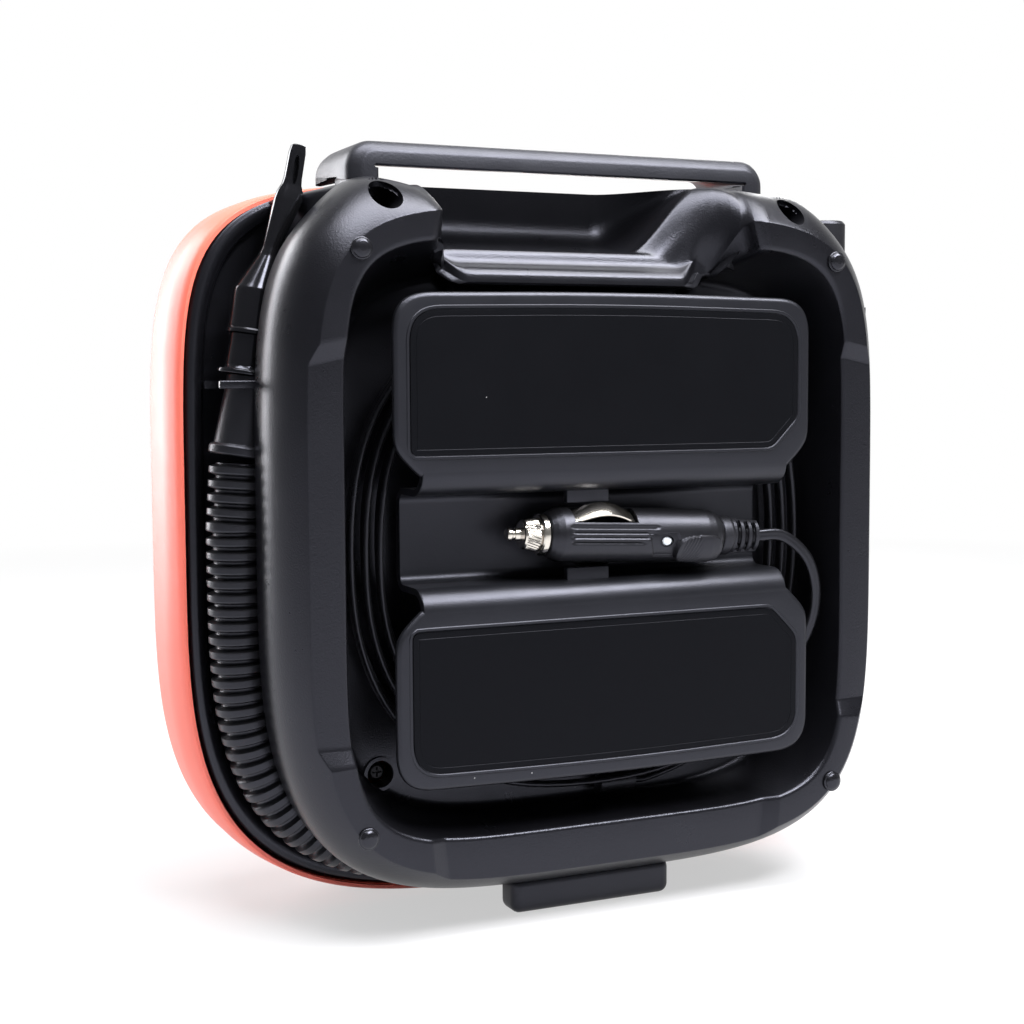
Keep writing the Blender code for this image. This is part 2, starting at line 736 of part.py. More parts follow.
def hose_clip():
    """A notched rib across the left-hand groove that holds the top of the cuff."""
    along = CUFF_LENGTH - CLIP_THICK
    centre = CHAIN_BASE + CHAIN_AXIS * along
    low = (width_at(GROOVE, centre.z) - FRAME_WALL / 2, GROOVE_FRONT_Y - FRAME_WALL / 2,
           centre.z - CLIP_THICK / 2)
    high = (width_at(LIP, centre.z) - LIP_WIDTH, FLANGE_Y - RUNNING_CLEAR, centre.z + CLIP_THICK / 2)
    made = place("hose_clip", box_mesh(low, high), None, helper=True)
    notch = CUFF_TOP_RADIUS + 1.2 * MM
    cut(made, rod_mesh(notch, -CLIP_THICK, CLIP_THICK, sides=20), centre, (0, -CHAIN_LEAN, 0))
    cut(made, box_mesh((0, -notch, -CLIP_THICK), (2 * notch, notch, CLIP_THICK)), centre)
    return made


# Front shell and the control panel in its opening

FRONT_EDGE = inset(LIP, -FRONT_WALL - CLEAR)
FRONT_WIDEST = inset(FRONT_EDGE, -FRONT_BULGE, bottom=0, top=-0.5 * MM)
PANEL_OPENING = inset(FRONT_EDGE, PANEL_INSET, top_bend=4.4, bottom_bend=4)
POST_Z = CASE_BOTTOM + POST_RISE
POST_X = CASE_HALF_WIDTH - POST_SIDE_INSET


def front_shell():
    rings = [ring_points(FRONT_EDGE, FRONT_EDGE_Y), ring_points(FRONT_WIDEST, FRONT_BULGE_Y * 0.55),
             ring_points(FRONT_WIDEST, FRONT_BULGE_Y)]
    depth = FRONT_BULGE_Y - FRONT_FACE_Y
    for degrees in (30, 55, 78):
        lean = math.radians(degrees)
        share = 1 - math.cos(lean)
        ring = inset(FRONT_WIDEST, FRONT_ROUND * share, top_bend=5.2 - 0.6 * share,
                     bottom_bend=3.7 + 0.3 * share)
        rings.append(ring_points(ring, FRONT_BULGE_Y - depth * math.sin(lean)))
    rings.append(ring_points(PANEL_OPENING, FRONT_FACE_Y))
    made = place("front_shell", loft(rings, flip=True), ORANGE)
    wall = made.modifiers.new("wall", "SOLIDIFY")
    wall.thickness = FRONT_WALL
    wall.offset = -1
    for side in (1, -1):
        at = (side * POST_X, 0, POST_Z)
        join(made, rod_mesh(POST_RADIUS, FRONT_FACE_Y + FRONT_WALL / 2, POST_END_Y, "Y", 12), at)
        cut(made, rod_mesh(SCREW_SHANK_RADIUS + CLEAR, POST_END_Y - SCREW_SHANK_LENGTH - 1 * MM,
                           POST_END_Y + 1 * MM, "Y", 12), at)
    return made


PANEL_FRONT_Y = FRONT_FACE_Y - 0.5 * MM
PANEL_BACK_Y = PANEL_FRONT_Y + PANEL_THICK
BOARD_FRONT_Y = PANEL_BACK_Y + BOARD_GAP
BUTTONS = {"power_button": 0, "minus_button": -1, "plus_button": 1}


def panel_matrix(y):
    """Outline axes to the panel plane: u along X, v along Z, with the extrusion along Y at y."""
    return Matrix.Translation((0, y, 0)) @ Matrix.Rotation(math.pi / 2, 4, "X")


def control_panel():
    fit = inset(PANEL_OPENING, CLEAR)
    mesh = loft([ring_points(fit, PANEL_FRONT_Y), ring_points(fit, PANEL_BACK_Y)], cap=True, start_cap=True)
    made = place("control_panel", mesh, BLACK)
    beyond = PANEL_FRONT_Y - 1 * MM, PANEL_BACK_Y + 1 * MM
    half_width, half_height = LENS_WIDTH / 2 + CLEAR, LENS_HEIGHT / 2 + CLEAR
    cut(made, box_mesh((-half_width, beyond[0], LENS_Z - half_height),
                       (half_width, beyond[1], LENS_Z + half_height)))
    cut(made, rod_mesh(HUB_RADIUS + RUNNING_CLEAR, *beyond, "Y"), (0, 0, KNOB_Z))
    for step in BUTTONS.values():
        cut(made, rod_mesh(BUTTON_RADIUS + RUNNING_CLEAR, *beyond, "Y"), (step * BUTTON_PITCH, 0, BUTTON_Z))
    for x, z in board_posts():
        join(made, rod_mesh(BOARD_POST_RADIUS, PANEL_BACK_Y - PANEL_THICK / 2, BOARD_FRONT_Y - CLEAR, "Y",
                            10), (x, 0, z))
    return made


def board_middle():
    return (BUTTON_Z + LENS_Z) / 2


def board_posts():
    across, up = BOARD_WIDTH / 2 - 5 * MM, BOARD_HEIGHT / 2 - 5 * MM
    return [(sx * across, board_middle() + sz * up) for sx in (1, -1) for sz in (1, -1)]


def controls():
    place("display_lens", box_mesh((-LENS_WIDTH / 2, PANEL_FRONT_Y, LENS_Z - LENS_HEIGHT / 2),
                                   (LENS_WIDTH / 2, PANEL_BACK_Y, LENS_Z + LENS_HEIGHT / 2)), GLASS)
    place("display_module", box_mesh((-LENS_WIDTH / 2, PANEL_BACK_Y + 1 * MM, LENS_Z - LENS_HEIGHT / 2),
                                     (LENS_WIDTH / 2, BOARD_FRONT_Y - CLEAR,
                                      LENS_Z + LENS_HEIGHT / 2)), GLASS)
    place("control_board", box_mesh((-BOARD_WIDTH / 2, BOARD_FRONT_Y, board_middle() - BOARD_HEIGHT / 2),
                                    (BOARD_WIDTH / 2, BOARD_FRONT_Y + BOARD_THICK,
                                     board_middle() + BOARD_HEIGHT / 2)), BOARD)
    for name, step in BUTTONS.items():
        proud = PANEL_THICK + BUTTON_PROUD
        profile = [(0, 0), (BUTTON_RADIUS - 0.8 * MM, 0), (BUTTON_RADIUS, -0.8 * MM),
                   (BUTTON_RADIUS, -proud - CLEAR),
                   (BUTTON_RADIUS + 1.5 * MM, -proud - CLEAR), (BUTTON_RADIUS + 1.5 * MM, -proud - 1.5 * MM),
                   (3 * MM, -proud - 1.5 * MM), (3 * MM, -proud - BOARD_GAP + BUTTON_TRAVEL + RUNNING_CLEAR),
                   (0, -proud - BOARD_GAP + BUTTON_TRAVEL + RUNNING_CLEAR)]
        turned(name, profile, BLACK, (step * BUTTON_PITCH, PANEL_FRONT_Y - BUTTON_PROUD, BUTTON_Z),
               (math.pi / 2, 0, 0))
    proud = KNOB_PROUD + CLEAR
    profile = [(0, 0), (KNOB_RADIUS - 1 * MM, 0), (KNOB_RADIUS, -1 * MM), (KNOB_RADIUS, -KNOB_PROUD),
               (HUB_RADIUS, -KNOB_PROUD), (HUB_RADIUS, -proud - PANEL_THICK - BOARD_GAP / 2),
               (0, -proud - PANEL_THICK - BOARD_GAP / 2)]
    turned("mode_knob", profile, BLACK, (0, PANEL_FRONT_Y - proud, KNOB_Z), (math.pi / 2, 0, 0))


# Handle

def handle():
    bottom = CASE_TOP + FRONT_WALL + 2 * CLEAR + 0.5 * MM
    top = CASE_TOP + HANDLE_TOP_RISE
    half, under = HANDLE_HALF_LENGTH, top - HANDLE_THICK
    right = arc((half - HANDLE_END_RADIUS, top - HANDLE_END_RADIUS), HANDLE_END_RADIUS, 0, 90, 5)
    left = [(-x, z) for x, z in reversed(right)]
    inner = half - LEG_LENGTH
    loop = [(half, bottom)] + right + left + [(-half, bottom), (-inner, bottom), (-inner + 3 * MM, under),
                                               (inner - 3 * MM, under), (inner, bottom)]
    mesh = outline_mesh([loop], (HANDLE_BACK_Y - HANDLE_FRONT_Y) / 2,
                        panel_matrix((HANDLE_BACK_Y + HANDLE_FRONT_Y) / 2))
    made = place("handle", mesh, RUBBER)
    leg_bottom = height_at(GROOVE, inner, True) + CLEAR
    for side in (1, -1):
        ends = sorted((side * inner, side * (half - 0.5 * MM)))
        join(made, box_mesh((ends[0], RUNNING_CLEAR, leg_bottom),
                            (ends[1], FLANGE_Y - RUNNING_CLEAR, under + 2 * MM)))
    return made


# Foot, pads, bumpers and screws

def foot_room():
    grow = RUNNING_CLEAR
    return box_mesh((-FOOT_HALF_WIDTH - grow, 0.5 * MM, -5 * MM),
                    (FOOT_HALF_WIDTH + grow, FOOT_BACK_Y + grow, FOOT_HEIGHT + grow))


def foot():
    made = place("foot", box_mesh((-FOOT_HALF_WIDTH, CLEAR, 0),
                                  (FOOT_HALF_WIDTH, FOOT_BACK_Y, FOOT_HEIGHT)), BLACK)
    cut(made, rod_mesh(HOSE_RADIUS + 2 * RUNNING_CLEAR, -2 * FOOT_HALF_WIDTH, 2 * FOOT_HALF_WIDTH, "X", 24),
        (0, HOSE_Y, HOSE_LOW_Z))
    cut(made, box_mesh((-2 * FOOT_HALF_WIDTH, -FOOT_PLATE, -FOOT_HEIGHT),
                       (2 * FOOT_HALF_WIDTH, FOOT_BACK_Y - FOOT_PLATE, FOOT_WEB_RISE)))
    return made


def small_fittings():
    for side, label in ((1, "left"), (-1, "right")):
        top = height_at(FRONT_WIDEST, PAD_X - PAD_RADIUS, False) - CLEAR
        place(f"front_pad_{label}", rod_mesh(PAD_RADIUS, 0, top, sides=16), RUBBER, (side * PAD_X, PAD_Y, 0))
        for level, z in (("top", CASE_TOP - BUMPER_TOP_DROP), ("bottom", CASE_BOTTOM + BUMPER_BOTTOM_RISE)):
            profile = [(BUMPER_RADIUS * math.sin(a), BUMPER_HEIGHT * math.cos(a)) for a in
                       (0, math.radians(30), math.radians(60), math.pi / 2)] + [(0, 0)]
            turned(f"bumper_{level}_{label}", profile, RUBBER, (side * BUMPER_X, RIM_Y + CLEAR, z),
                   (-math.pi / 2, 0, 0), steps=12)
        shank = FLANGE_THICK + CLEAR
        case_screw(f"case_screw_top_{label}", side * TOP_SCREW_X, FLANGE_Y + FLANGE_THICK + CLEAR,
                   CASE_TOP - TOP_SCREW_DROP, shank)
        case_screw(f"case_screw_bottom_{label}", side * POST_X, POST_END_Y + CLEAR, POST_Z,
                   SCREW_SHANK_LENGTH)


def case_screw(name, x, y, z, shank):
    """A pan-head screw whose head seats at y."""
    profile = [(0, SCREW_HEAD_THICK), (SCREW_HEAD_RADIUS * 0.7, SCREW_HEAD_THICK),
               (SCREW_HEAD_RADIUS, SCREW_HEAD_THICK * 0.5),
               (SCREW_HEAD_RADIUS, 0), (SCREW_SHANK_RADIUS, 0), (SCREW_SHANK_RADIUS, -shank), (0, -shank)]
    turned(name, profile, STEEL, (x, y, z), (-math.pi / 2, 0, 0), steps=12)


# Ribbed hose, cuff, adapter and nozzle

HOSE_TOP_Z = CASE_TOP - HOSE_TOP_DROP
HOSE_LOW_Z = GROOVE.bottom - HOSE_RADIUS - RUNNING_CLEAR
HOSE_SIDE_X = GROOVE.half_width + HOSE_RADIUS + HOSE_STANDOFF
HOSE_RING = Ring(HOSE_SIDE_X, HOSE_LOW_Z, 2 * PAD_MIDDLE_Z - HOSE_LOW_Z, HOSE_BEND, HOSE_BEND)
CHAIN_AXIS = Vector((-math.sin(CHAIN_LEAN), 0, math.cos(CHAIN_LEAN)))
HOSE_STRAIGHT = 2 * HOSE_RADIUS
HOSE_TOP = Vector((HOSE_SIDE_X - HOSE_STRAIGHT * math.sin(HOSE_LEAN), HOSE_Y, HOSE_TOP_Z))
CHAIN_BASE = HOSE_TOP + Vector((0, 0, CLEAR + HOSE_RADIUS * math.sin(CHAIN_LEAN)))


def hose_route():
    """Down the left-hand groove, round the corner and along the bottom, with straight ends."""
    turn_z = HOSE_TOP_Z - HOSE_STRAIGHT * math.cos(HOSE_LEAN)
    points = [HOSE_TOP, Vector((HOSE_SIDE_X, HOSE_Y, turn_z))]
    run_end = HOSE_END_X + HOSE_STRAIGHT
    for angle in np.linspace(2 * math.pi, angle_at_x(HOSE_RING, 0, False), 60)[1:-1]:
        x, z = outline(HOSE_RING, angle)
        points.append(Vector((x, HOSE_Y, z)))
    points.append(Vector((run_end, HOSE_Y, HOSE_LOW_Z)))
    points.append(Vector((HOSE_END_X, HOSE_Y, HOSE_LOW_Z)))
    return points


def resample(points, count):
    """Evenly spaced points along a route."""
    line = np.array([tuple(p) for p in points])
    walked = np.concatenate([[0], np.cumsum(np.linalg.norm(np.diff(line, axis=0), axis=1))])
    at = np.linspace(0, walked[-1], count)
    return np.stack([np.interp(at, walked, line[:, i]) for i in range(3)], axis=1), walked[-1]


def ribbed_hose():
    route = hose_route()
    length = resample(route, 2)[1]
    ribs = round(length / RIB_PITCH)
    points = resample(route, 2 * ribs)[0]
    radii = [HOSE_RADIUS if i % 2 else HOSE_ROOT_RADIUS for i in range(2 * ribs)]
    made = place("ribbed_hose", tube_mesh(points, radii, 2), RUBBER)
    bore = [Vector(p) for p in resample(route, ribs // 2)[0]]
    bore[0] += (bore[0] - bore[1]).normalized() * HOSE_RADIUS
    bore[-1] += (bore[-1] - bore[-2]).normalized() * HOSE_RADIUS
    cut(made, tube_mesh(bore, [HOSE_BORE_RADIUS] * len(bore), 1))
    print(f"ribbed hose {length * 1000:.0f} mm long with {ribs} ribs")


def nozzle_chain():
    """Cuff, adapter and nozzle on one leaning axis, with heights measured from the foot of the cuff."""
    lean = (0, -CHAIN_LEAN, 0)
    top = CUFF_LENGTH
    profile = [(CUFF_TOP_RADIUS, top), (CUFF_BASE_RADIUS, CUFF_COLLAR),
               (HOSE_RADIUS + RUNNING_CLEAR, CUFF_COLLAR),
               (HOSE_RADIUS + RUNNING_CLEAR, 0), (SPIGOT_RADIUS + 1 * MM, 0), (SPIGOT_RADIUS + 1 * MM, top)]
    turned("hose_cuff", profile, RUBBER, CHAIN_BASE, lean, ring=True)
    base = top + CLEAR
    shoulder = base + ADAPTER_LENGTH
    tip = shoulder + SPIGOT_LENGTH
    bore = NOZZLE_BORE_RADIUS
    profile = [(SPIGOT_RADIUS, tip), (SPIGOT_RADIUS, shoulder), (ADAPTER_RADIUS, shoulder),
               (ADAPTER_RADIUS, base + 2 * MM),
               (CUFF_TOP_RADIUS + 0.8 * MM, base + 2 * MM), (CUFF_TOP_RADIUS + 0.8 * MM, base),
               (bore, base), (bore, tip)]
    turned("nozzle_adapter", profile, GLOSS, CHAIN_BASE, lean, ring=True)
    foot_z = shoulder + CLEAR
    body = foot_z + NOZZLE_BODY
    cone = body + NOZZLE_CONE
    tube = cone + NOZZLE_TUBE
    end = tube + NOZZLE_TIP
    socket = SPIGOT_RADIUS + CLEAR
    profile = [(NOZZLE_TUBE_RADIUS - 0.4 * MM, end), (NOZZLE_TUBE_RADIUS, tube), (NOZZLE_TUBE_RADIUS, cone),
               (NOZZLE_RADIUS - 0.8 * MM, body), (NOZZLE_RADIUS, foot_z + 3 * MM),
               (NOZZLE_RADIUS, foot_z), (socket, foot_z),
               (socket, tip + CLEAR), (bore, tip + CLEAR + 2 * MM), (bore, end)]
    made = turned("nozzle", profile, GLOSS, CHAIN_BASE, lean, ring=True)
    reach = 3 * NOZZLE_TUBE_RADIUS
    for side in (1, -1):
        near, far = sorted((side * NOZZLE_TIP_THICK / 2, side * reach))
        cut(made, box_mesh((near, -reach, tube), (far, reach, end + 1 * MM)), CHAIN_BASE, lean)
    cut(made, box_mesh((-SLIT_WIDTH / 2, -reach, tube + 5 * MM), (SLIT_WIDTH / 2, reach, end + 1 * MM)),
        CHAIN_BASE, lean)


def hose_socket():
    """The port in the bottom groove that the ribbed hose ends in, standing on the groove floor."""
    start = HOSE_END_X - CLEAR
    end = start - SOCKET_LENGTH
    made = place("hose_socket", rod_mesh(SOCKET_RADIUS, end, start, "X", 20), BLACK, (0, HOSE_Y, HOSE_LOW_Z))
    floor_z = height_at(GROOVE, start, False) - CLEAR
    join(made, box_mesh((start - SOCKET_RADIUS, HOSE_Y - SOCKET_RADIUS / 2, HOSE_LOW_Z),
                        (start - 1 * MM, HOSE_Y + SOCKET_RADIUS / 2, floor_z)))


# Air hose and chuck

AIR_X = -(CASE_HALF_WIDTH - AIR_HOSE_INSET)
AIR_ELBOW_Z = (CASE_TOP + CASE_BOTTOM) / 2 - AIR_ELBOW_DROP
CHUCK_TOP_Z = CASE_TOP - CHUCK_TOP_DROP
CHUCK_TAIL_Z = CHUCK_TOP_Z - CHUCK_LENGTH
LUG_REACH = LEVER_PIN_RADIUS + 1.6 * MM
LEVER_AXIS = Vector((AIR_X - CHUCK_HEAD_RADIUS - LUG_REACH - RUNNING_CLEAR, HOSE_Y,
                     CHUCK_TOP_Z - CHUCK_HEAD_LENGTH + 6 * MM))


def air_line():
    top = AIR_ELBOW_Z + AIR_ELBOW_LENGTH / 2
    made = place("air_elbow",
                 rod_mesh(AIR_ELBOW_RADIUS, -AIR_ELBOW_LENGTH / 2, AIR_ELBOW_LENGTH / 2, sides=16), BLACK,
                 (AIR_X, HOSE_Y, AIR_ELBOW_Z))
    wall_x = -width_at(GROOVE, AIR_ELBOW_Z + AIR_ELBOW_RADIUS / 2) - CLEAR
    join(made, box_mesh((AIR_X, HOSE_Y - AIR_ELBOW_RADIUS / 2, AIR_ELBOW_Z - AIR_ELBOW_RADIUS / 2),
                        (wall_x, HOSE_Y + AIR_ELBOW_RADIUS / 2, AIR_ELBOW_Z + AIR_ELBOW_RADIUS / 2)))
    ends = Vector((AIR_X, HOSE_Y, top + CLEAR)), Vector((AIR_X, HOSE_Y, CHUCK_TAIL_Z - CLEAR))
    points = [ends[0].lerp(ends[1], i / 8) for i in range(9)]
    for i, point in enumerate(points):
        point.x -= 1.5 * MM * math.sin(math.pi * i / 8) ** 2
    place("air_hose", tube_mesh(points, [AIR_HOSE_RADIUS] * 9, 2), RUBBER)


def chuck():
    head_foot = CHUCK_TOP_Z - CHUCK_HEAD_LENGTH
    base = CHUCK_TAIL_Z
    profile = [(CHUCK_MOUTH_RADIUS, CHUCK_TOP_Z), (CHUCK_HEAD_RADIUS, CHUCK_TOP_Z),
               (CHUCK_HEAD_RADIUS, head_foot),
               (CHUCK_BODY_RADIUS, head_foot - 4 * MM), (CHUCK_BODY_RADIUS, base + 8 * MM),
               (AIR_HOSE_RADIUS + 1 * MM, base),
               (0, base), (0, CHUCK_TOP_Z - CHUCK_MOUTH_DEPTH),
               (CHUCK_MOUTH_RADIUS, CHUCK_TOP_Z - CHUCK_MOUTH_DEPTH)]
    mesh_profile = [(radius, z - base) for radius, z in profile]
    made = turned("chuck_body", mesh_profile, BLACK, (AIR_X, HOSE_Y, base), ring=True)
    lug = LUG_WIDTH / 2
    out = LUG_REACH
    join(made, rod_mesh(out, -lug, lug, "Y"), LEVER_AXIS)
    join(made, box_mesh((0, -lug, -out * 0.9), (2 * out, lug, out * 0.9)), LEVER_AXIS)
    hole = LEVER_PIN_RADIUS + CLEAR
    cut(made, rod_mesh(hole, -LEVER_WIDTH, LEVER_WIDTH, "Y", 12), LEVER_AXIS)
    cheek = lug + RUNNING_CLEAR
    edge = LEVER_WIDTH / 2
    ear = LEVER_PIN_RADIUS + 0.9 * MM
    lever = place("chuck_lever",
                  box_mesh((-out - LEVER_THICK, -edge, -LEVER_LENGTH), (-out - RUNNING_CLEAR, edge, out)),
                  BLACK,
                  LEVER_AXIS)
    for side in (1, -1):
        low, high = sorted((side * cheek, side * edge))
        join(lever, box_mesh((-out - LEVER_THICK / 2, low, -ear), (ear, high, ear)), LEVER_AXIS)
    cut(lever, rod_mesh(hole, -LEVER_WIDTH, LEVER_WIDTH, "Y", 12), LEVER_AXIS)
    place("chuck_pin", rod_mesh(LEVER_PIN_RADIUS, -edge, edge, "Y", 12), STEEL, LEVER_AXIS)
    profile = [(CHUCK_MOUTH_RADIUS - CLEAR, 4 * MM), (CHUCK_MOUTH_RADIUS - CLEAR, 0), (1.8 * MM, 0),
               (1.8 * MM, 4 * MM)]
    turned("chuck_seal", profile, RUBBER, (AIR_X, HOSE_Y, CHUCK_TOP_Z - CHUCK_MOUTH_DEPTH + CLEAR),
           ring=True, steps=16)


# Cord spool, labels and gland

PLATE_HALF_WIDTH = RIM_INNER.half_width - PLATE_MARGIN
WIND_HALF_WIDTH = RIM_INNER.half_width - WIND_SIDE_ROOM
NECK_HALF_WIDTH = WIND_HALF_WIDTH - WIND_TURNS * WIND_STEP - NECK_ROOM
TROUGH_HALF_HEIGHT = BARREL_RADIUS + TROUGH_ROOM
ROLL_FAR = TROUGH_HALF_HEIGHT + ROLL_RADIUS


def plate_loop(margin, near, chamfer=0.0):
    """A plate's outline in (x, distance from the trough): arched far edge, round corners, narrow neck."""
    half, far = PLATE_HALF_WIDTH - margin, PLATE_FAR - margin
    corner = PLATE_CORNER - margin / 2
    side_end = far - PLATE_ARCH - corner
    loop = arc((half - corner, side_end), corner, 0, 80, 5)
    loop += [(half * share, far - PLATE_ARCH * (share / 0.7) ** 2 * 0.7) for share in (0.5, 0.25, 0)]
    if chamfer:
        return loop + [(-x, v) for x, v in loop[-2::-1]] + [(-half, near + chamfer),
                                                            (chamfer - half, near), (half, near)]
    neck_inset = PLATE_HALF_WIDTH - NECK_HALF_WIDTH
    neck = [(half, near + 12 * MM), (half - neck_inset * 0.3, near + 7 * MM), (half - neck_inset, near)]
    return loop + [(-x, v) for x, v in loop[-2::-1]] + [(-x, v) for x, v in neck] + neck[::-1]


def plate_matrix(side, y):
    """Plate outlines to the plates: above the trough for side 1 and below it for side -1, facing +Y at y."""
    turn = Matrix(((1, 0, 0, 0), (0, 0, 1, 0), (0, side, 0, 0), (0, 0, 0, 1)))
    return Matrix.Translation((0, y, SPOOL_Z)) @ turn


def trough_mesh():
    """The trough's sheet: a rolled edge, a wall and half a floor on each side, run along X."""
    roll_y = RIM_Y - ROLL_RADIUS - 0.2 * MM
    half = [(v, y) for v, y in arc((ROLL_FAR, roll_y), ROLL_RADIUS, 90, 180, 5)]
    half += arc((TROUGH_HALF_HEIGHT - 4 * MM, TROUGH_FLOOR_Y + 4 * MM), 4 * MM, 0, -90, 4)
    section = half + [(-v, y) for v, y in reversed(half)]
    mesh = bpy.data.meshes.new("trough")
    work = bmesh.new()
    ends = -NECK_HALF_WIDTH, NECK_HALF_WIDTH
    rows = [[work.verts.new((x, y, SPOOL_Z + v)) for v, y in section] for x in ends]
    for i in range(len(section) - 1):
        work.faces.new((rows[0][i], rows[1][i], rows[1][i + 1], rows[0][i + 1]))
    work.to_mesh(mesh)
    work.free()
    return mesh


def cord_spool():
    near = ROLL_FAR - 2 * MM
    middle_y = RIM_Y - PLATE_THICK / 2
    made = place("cord_spool",
                 outline_mesh([plate_loop(0, near)], PLATE_THICK / 2, plate_matrix(1, middle_y)), SLATE)
    sheet = place("trough_sheet", trough_mesh(), None, helper=True)
    wall = sheet.modifiers.new("wall", "SOLIDIFY")
    wall.thickness = SPOOL_WALL
    wall.offset = -1
    combine(made, sheet, "UNION")
    join(made, outline_mesh([plate_loop(0, near)], PLATE_THICK / 2, plate_matrix(-1, middle_y)))
    for side in (1, -1):
        core = sorted((SPOOL_Z + side * (TROUGH_HALF_HEIGHT + 1.2 * MM), SPOOL_Z + side * CORE_FAR))
        join(made, box_mesh((-CORE_HALF_WIDTH, BAY_FLOOR_Y + CLEAR, core[0]),
                            (CORE_HALF_WIDTH, RIM_Y - PLATE_THICK / 2, core[1])))
        tab = sorted((SPOOL_Z + side * (TROUGH_HALF_HEIGHT - TAB_REACH),
                      SPOOL_Z + side * (TROUGH_HALF_HEIGHT + 6 * MM)))
        tab_y = PLUG_Y - 0.5 * MM
        join(made, box_mesh((TAB_X - TAB_WIDTH / 2, tab_y, tab[0]),
                            (TAB_X + TAB_WIDTH / 2, tab_y + TAB_THICK, tab[1])))
        cut(made, outline_mesh([plate_loop(LABEL_MARGIN - CLEAR, LABEL_NEAR - CLEAR, LABEL_CHAMFER)],
                               LABEL_SINK,
                               plate_matrix(side, RIM_Y)))
    for side, label in ((1, "upper"), (-1, "lower")):
        sheet_y = RIM_Y - LABEL_SINK + CLEAR + LABEL_THICK / 2
        place(f"label_{label}",
              outline_mesh([plate_loop(LABEL_MARGIN, LABEL_NEAR, LABEL_CHAMFER)], LABEL_THICK / 2,
                           plate_matrix(side, sheet_y)), SLATE)


# Accessory plug

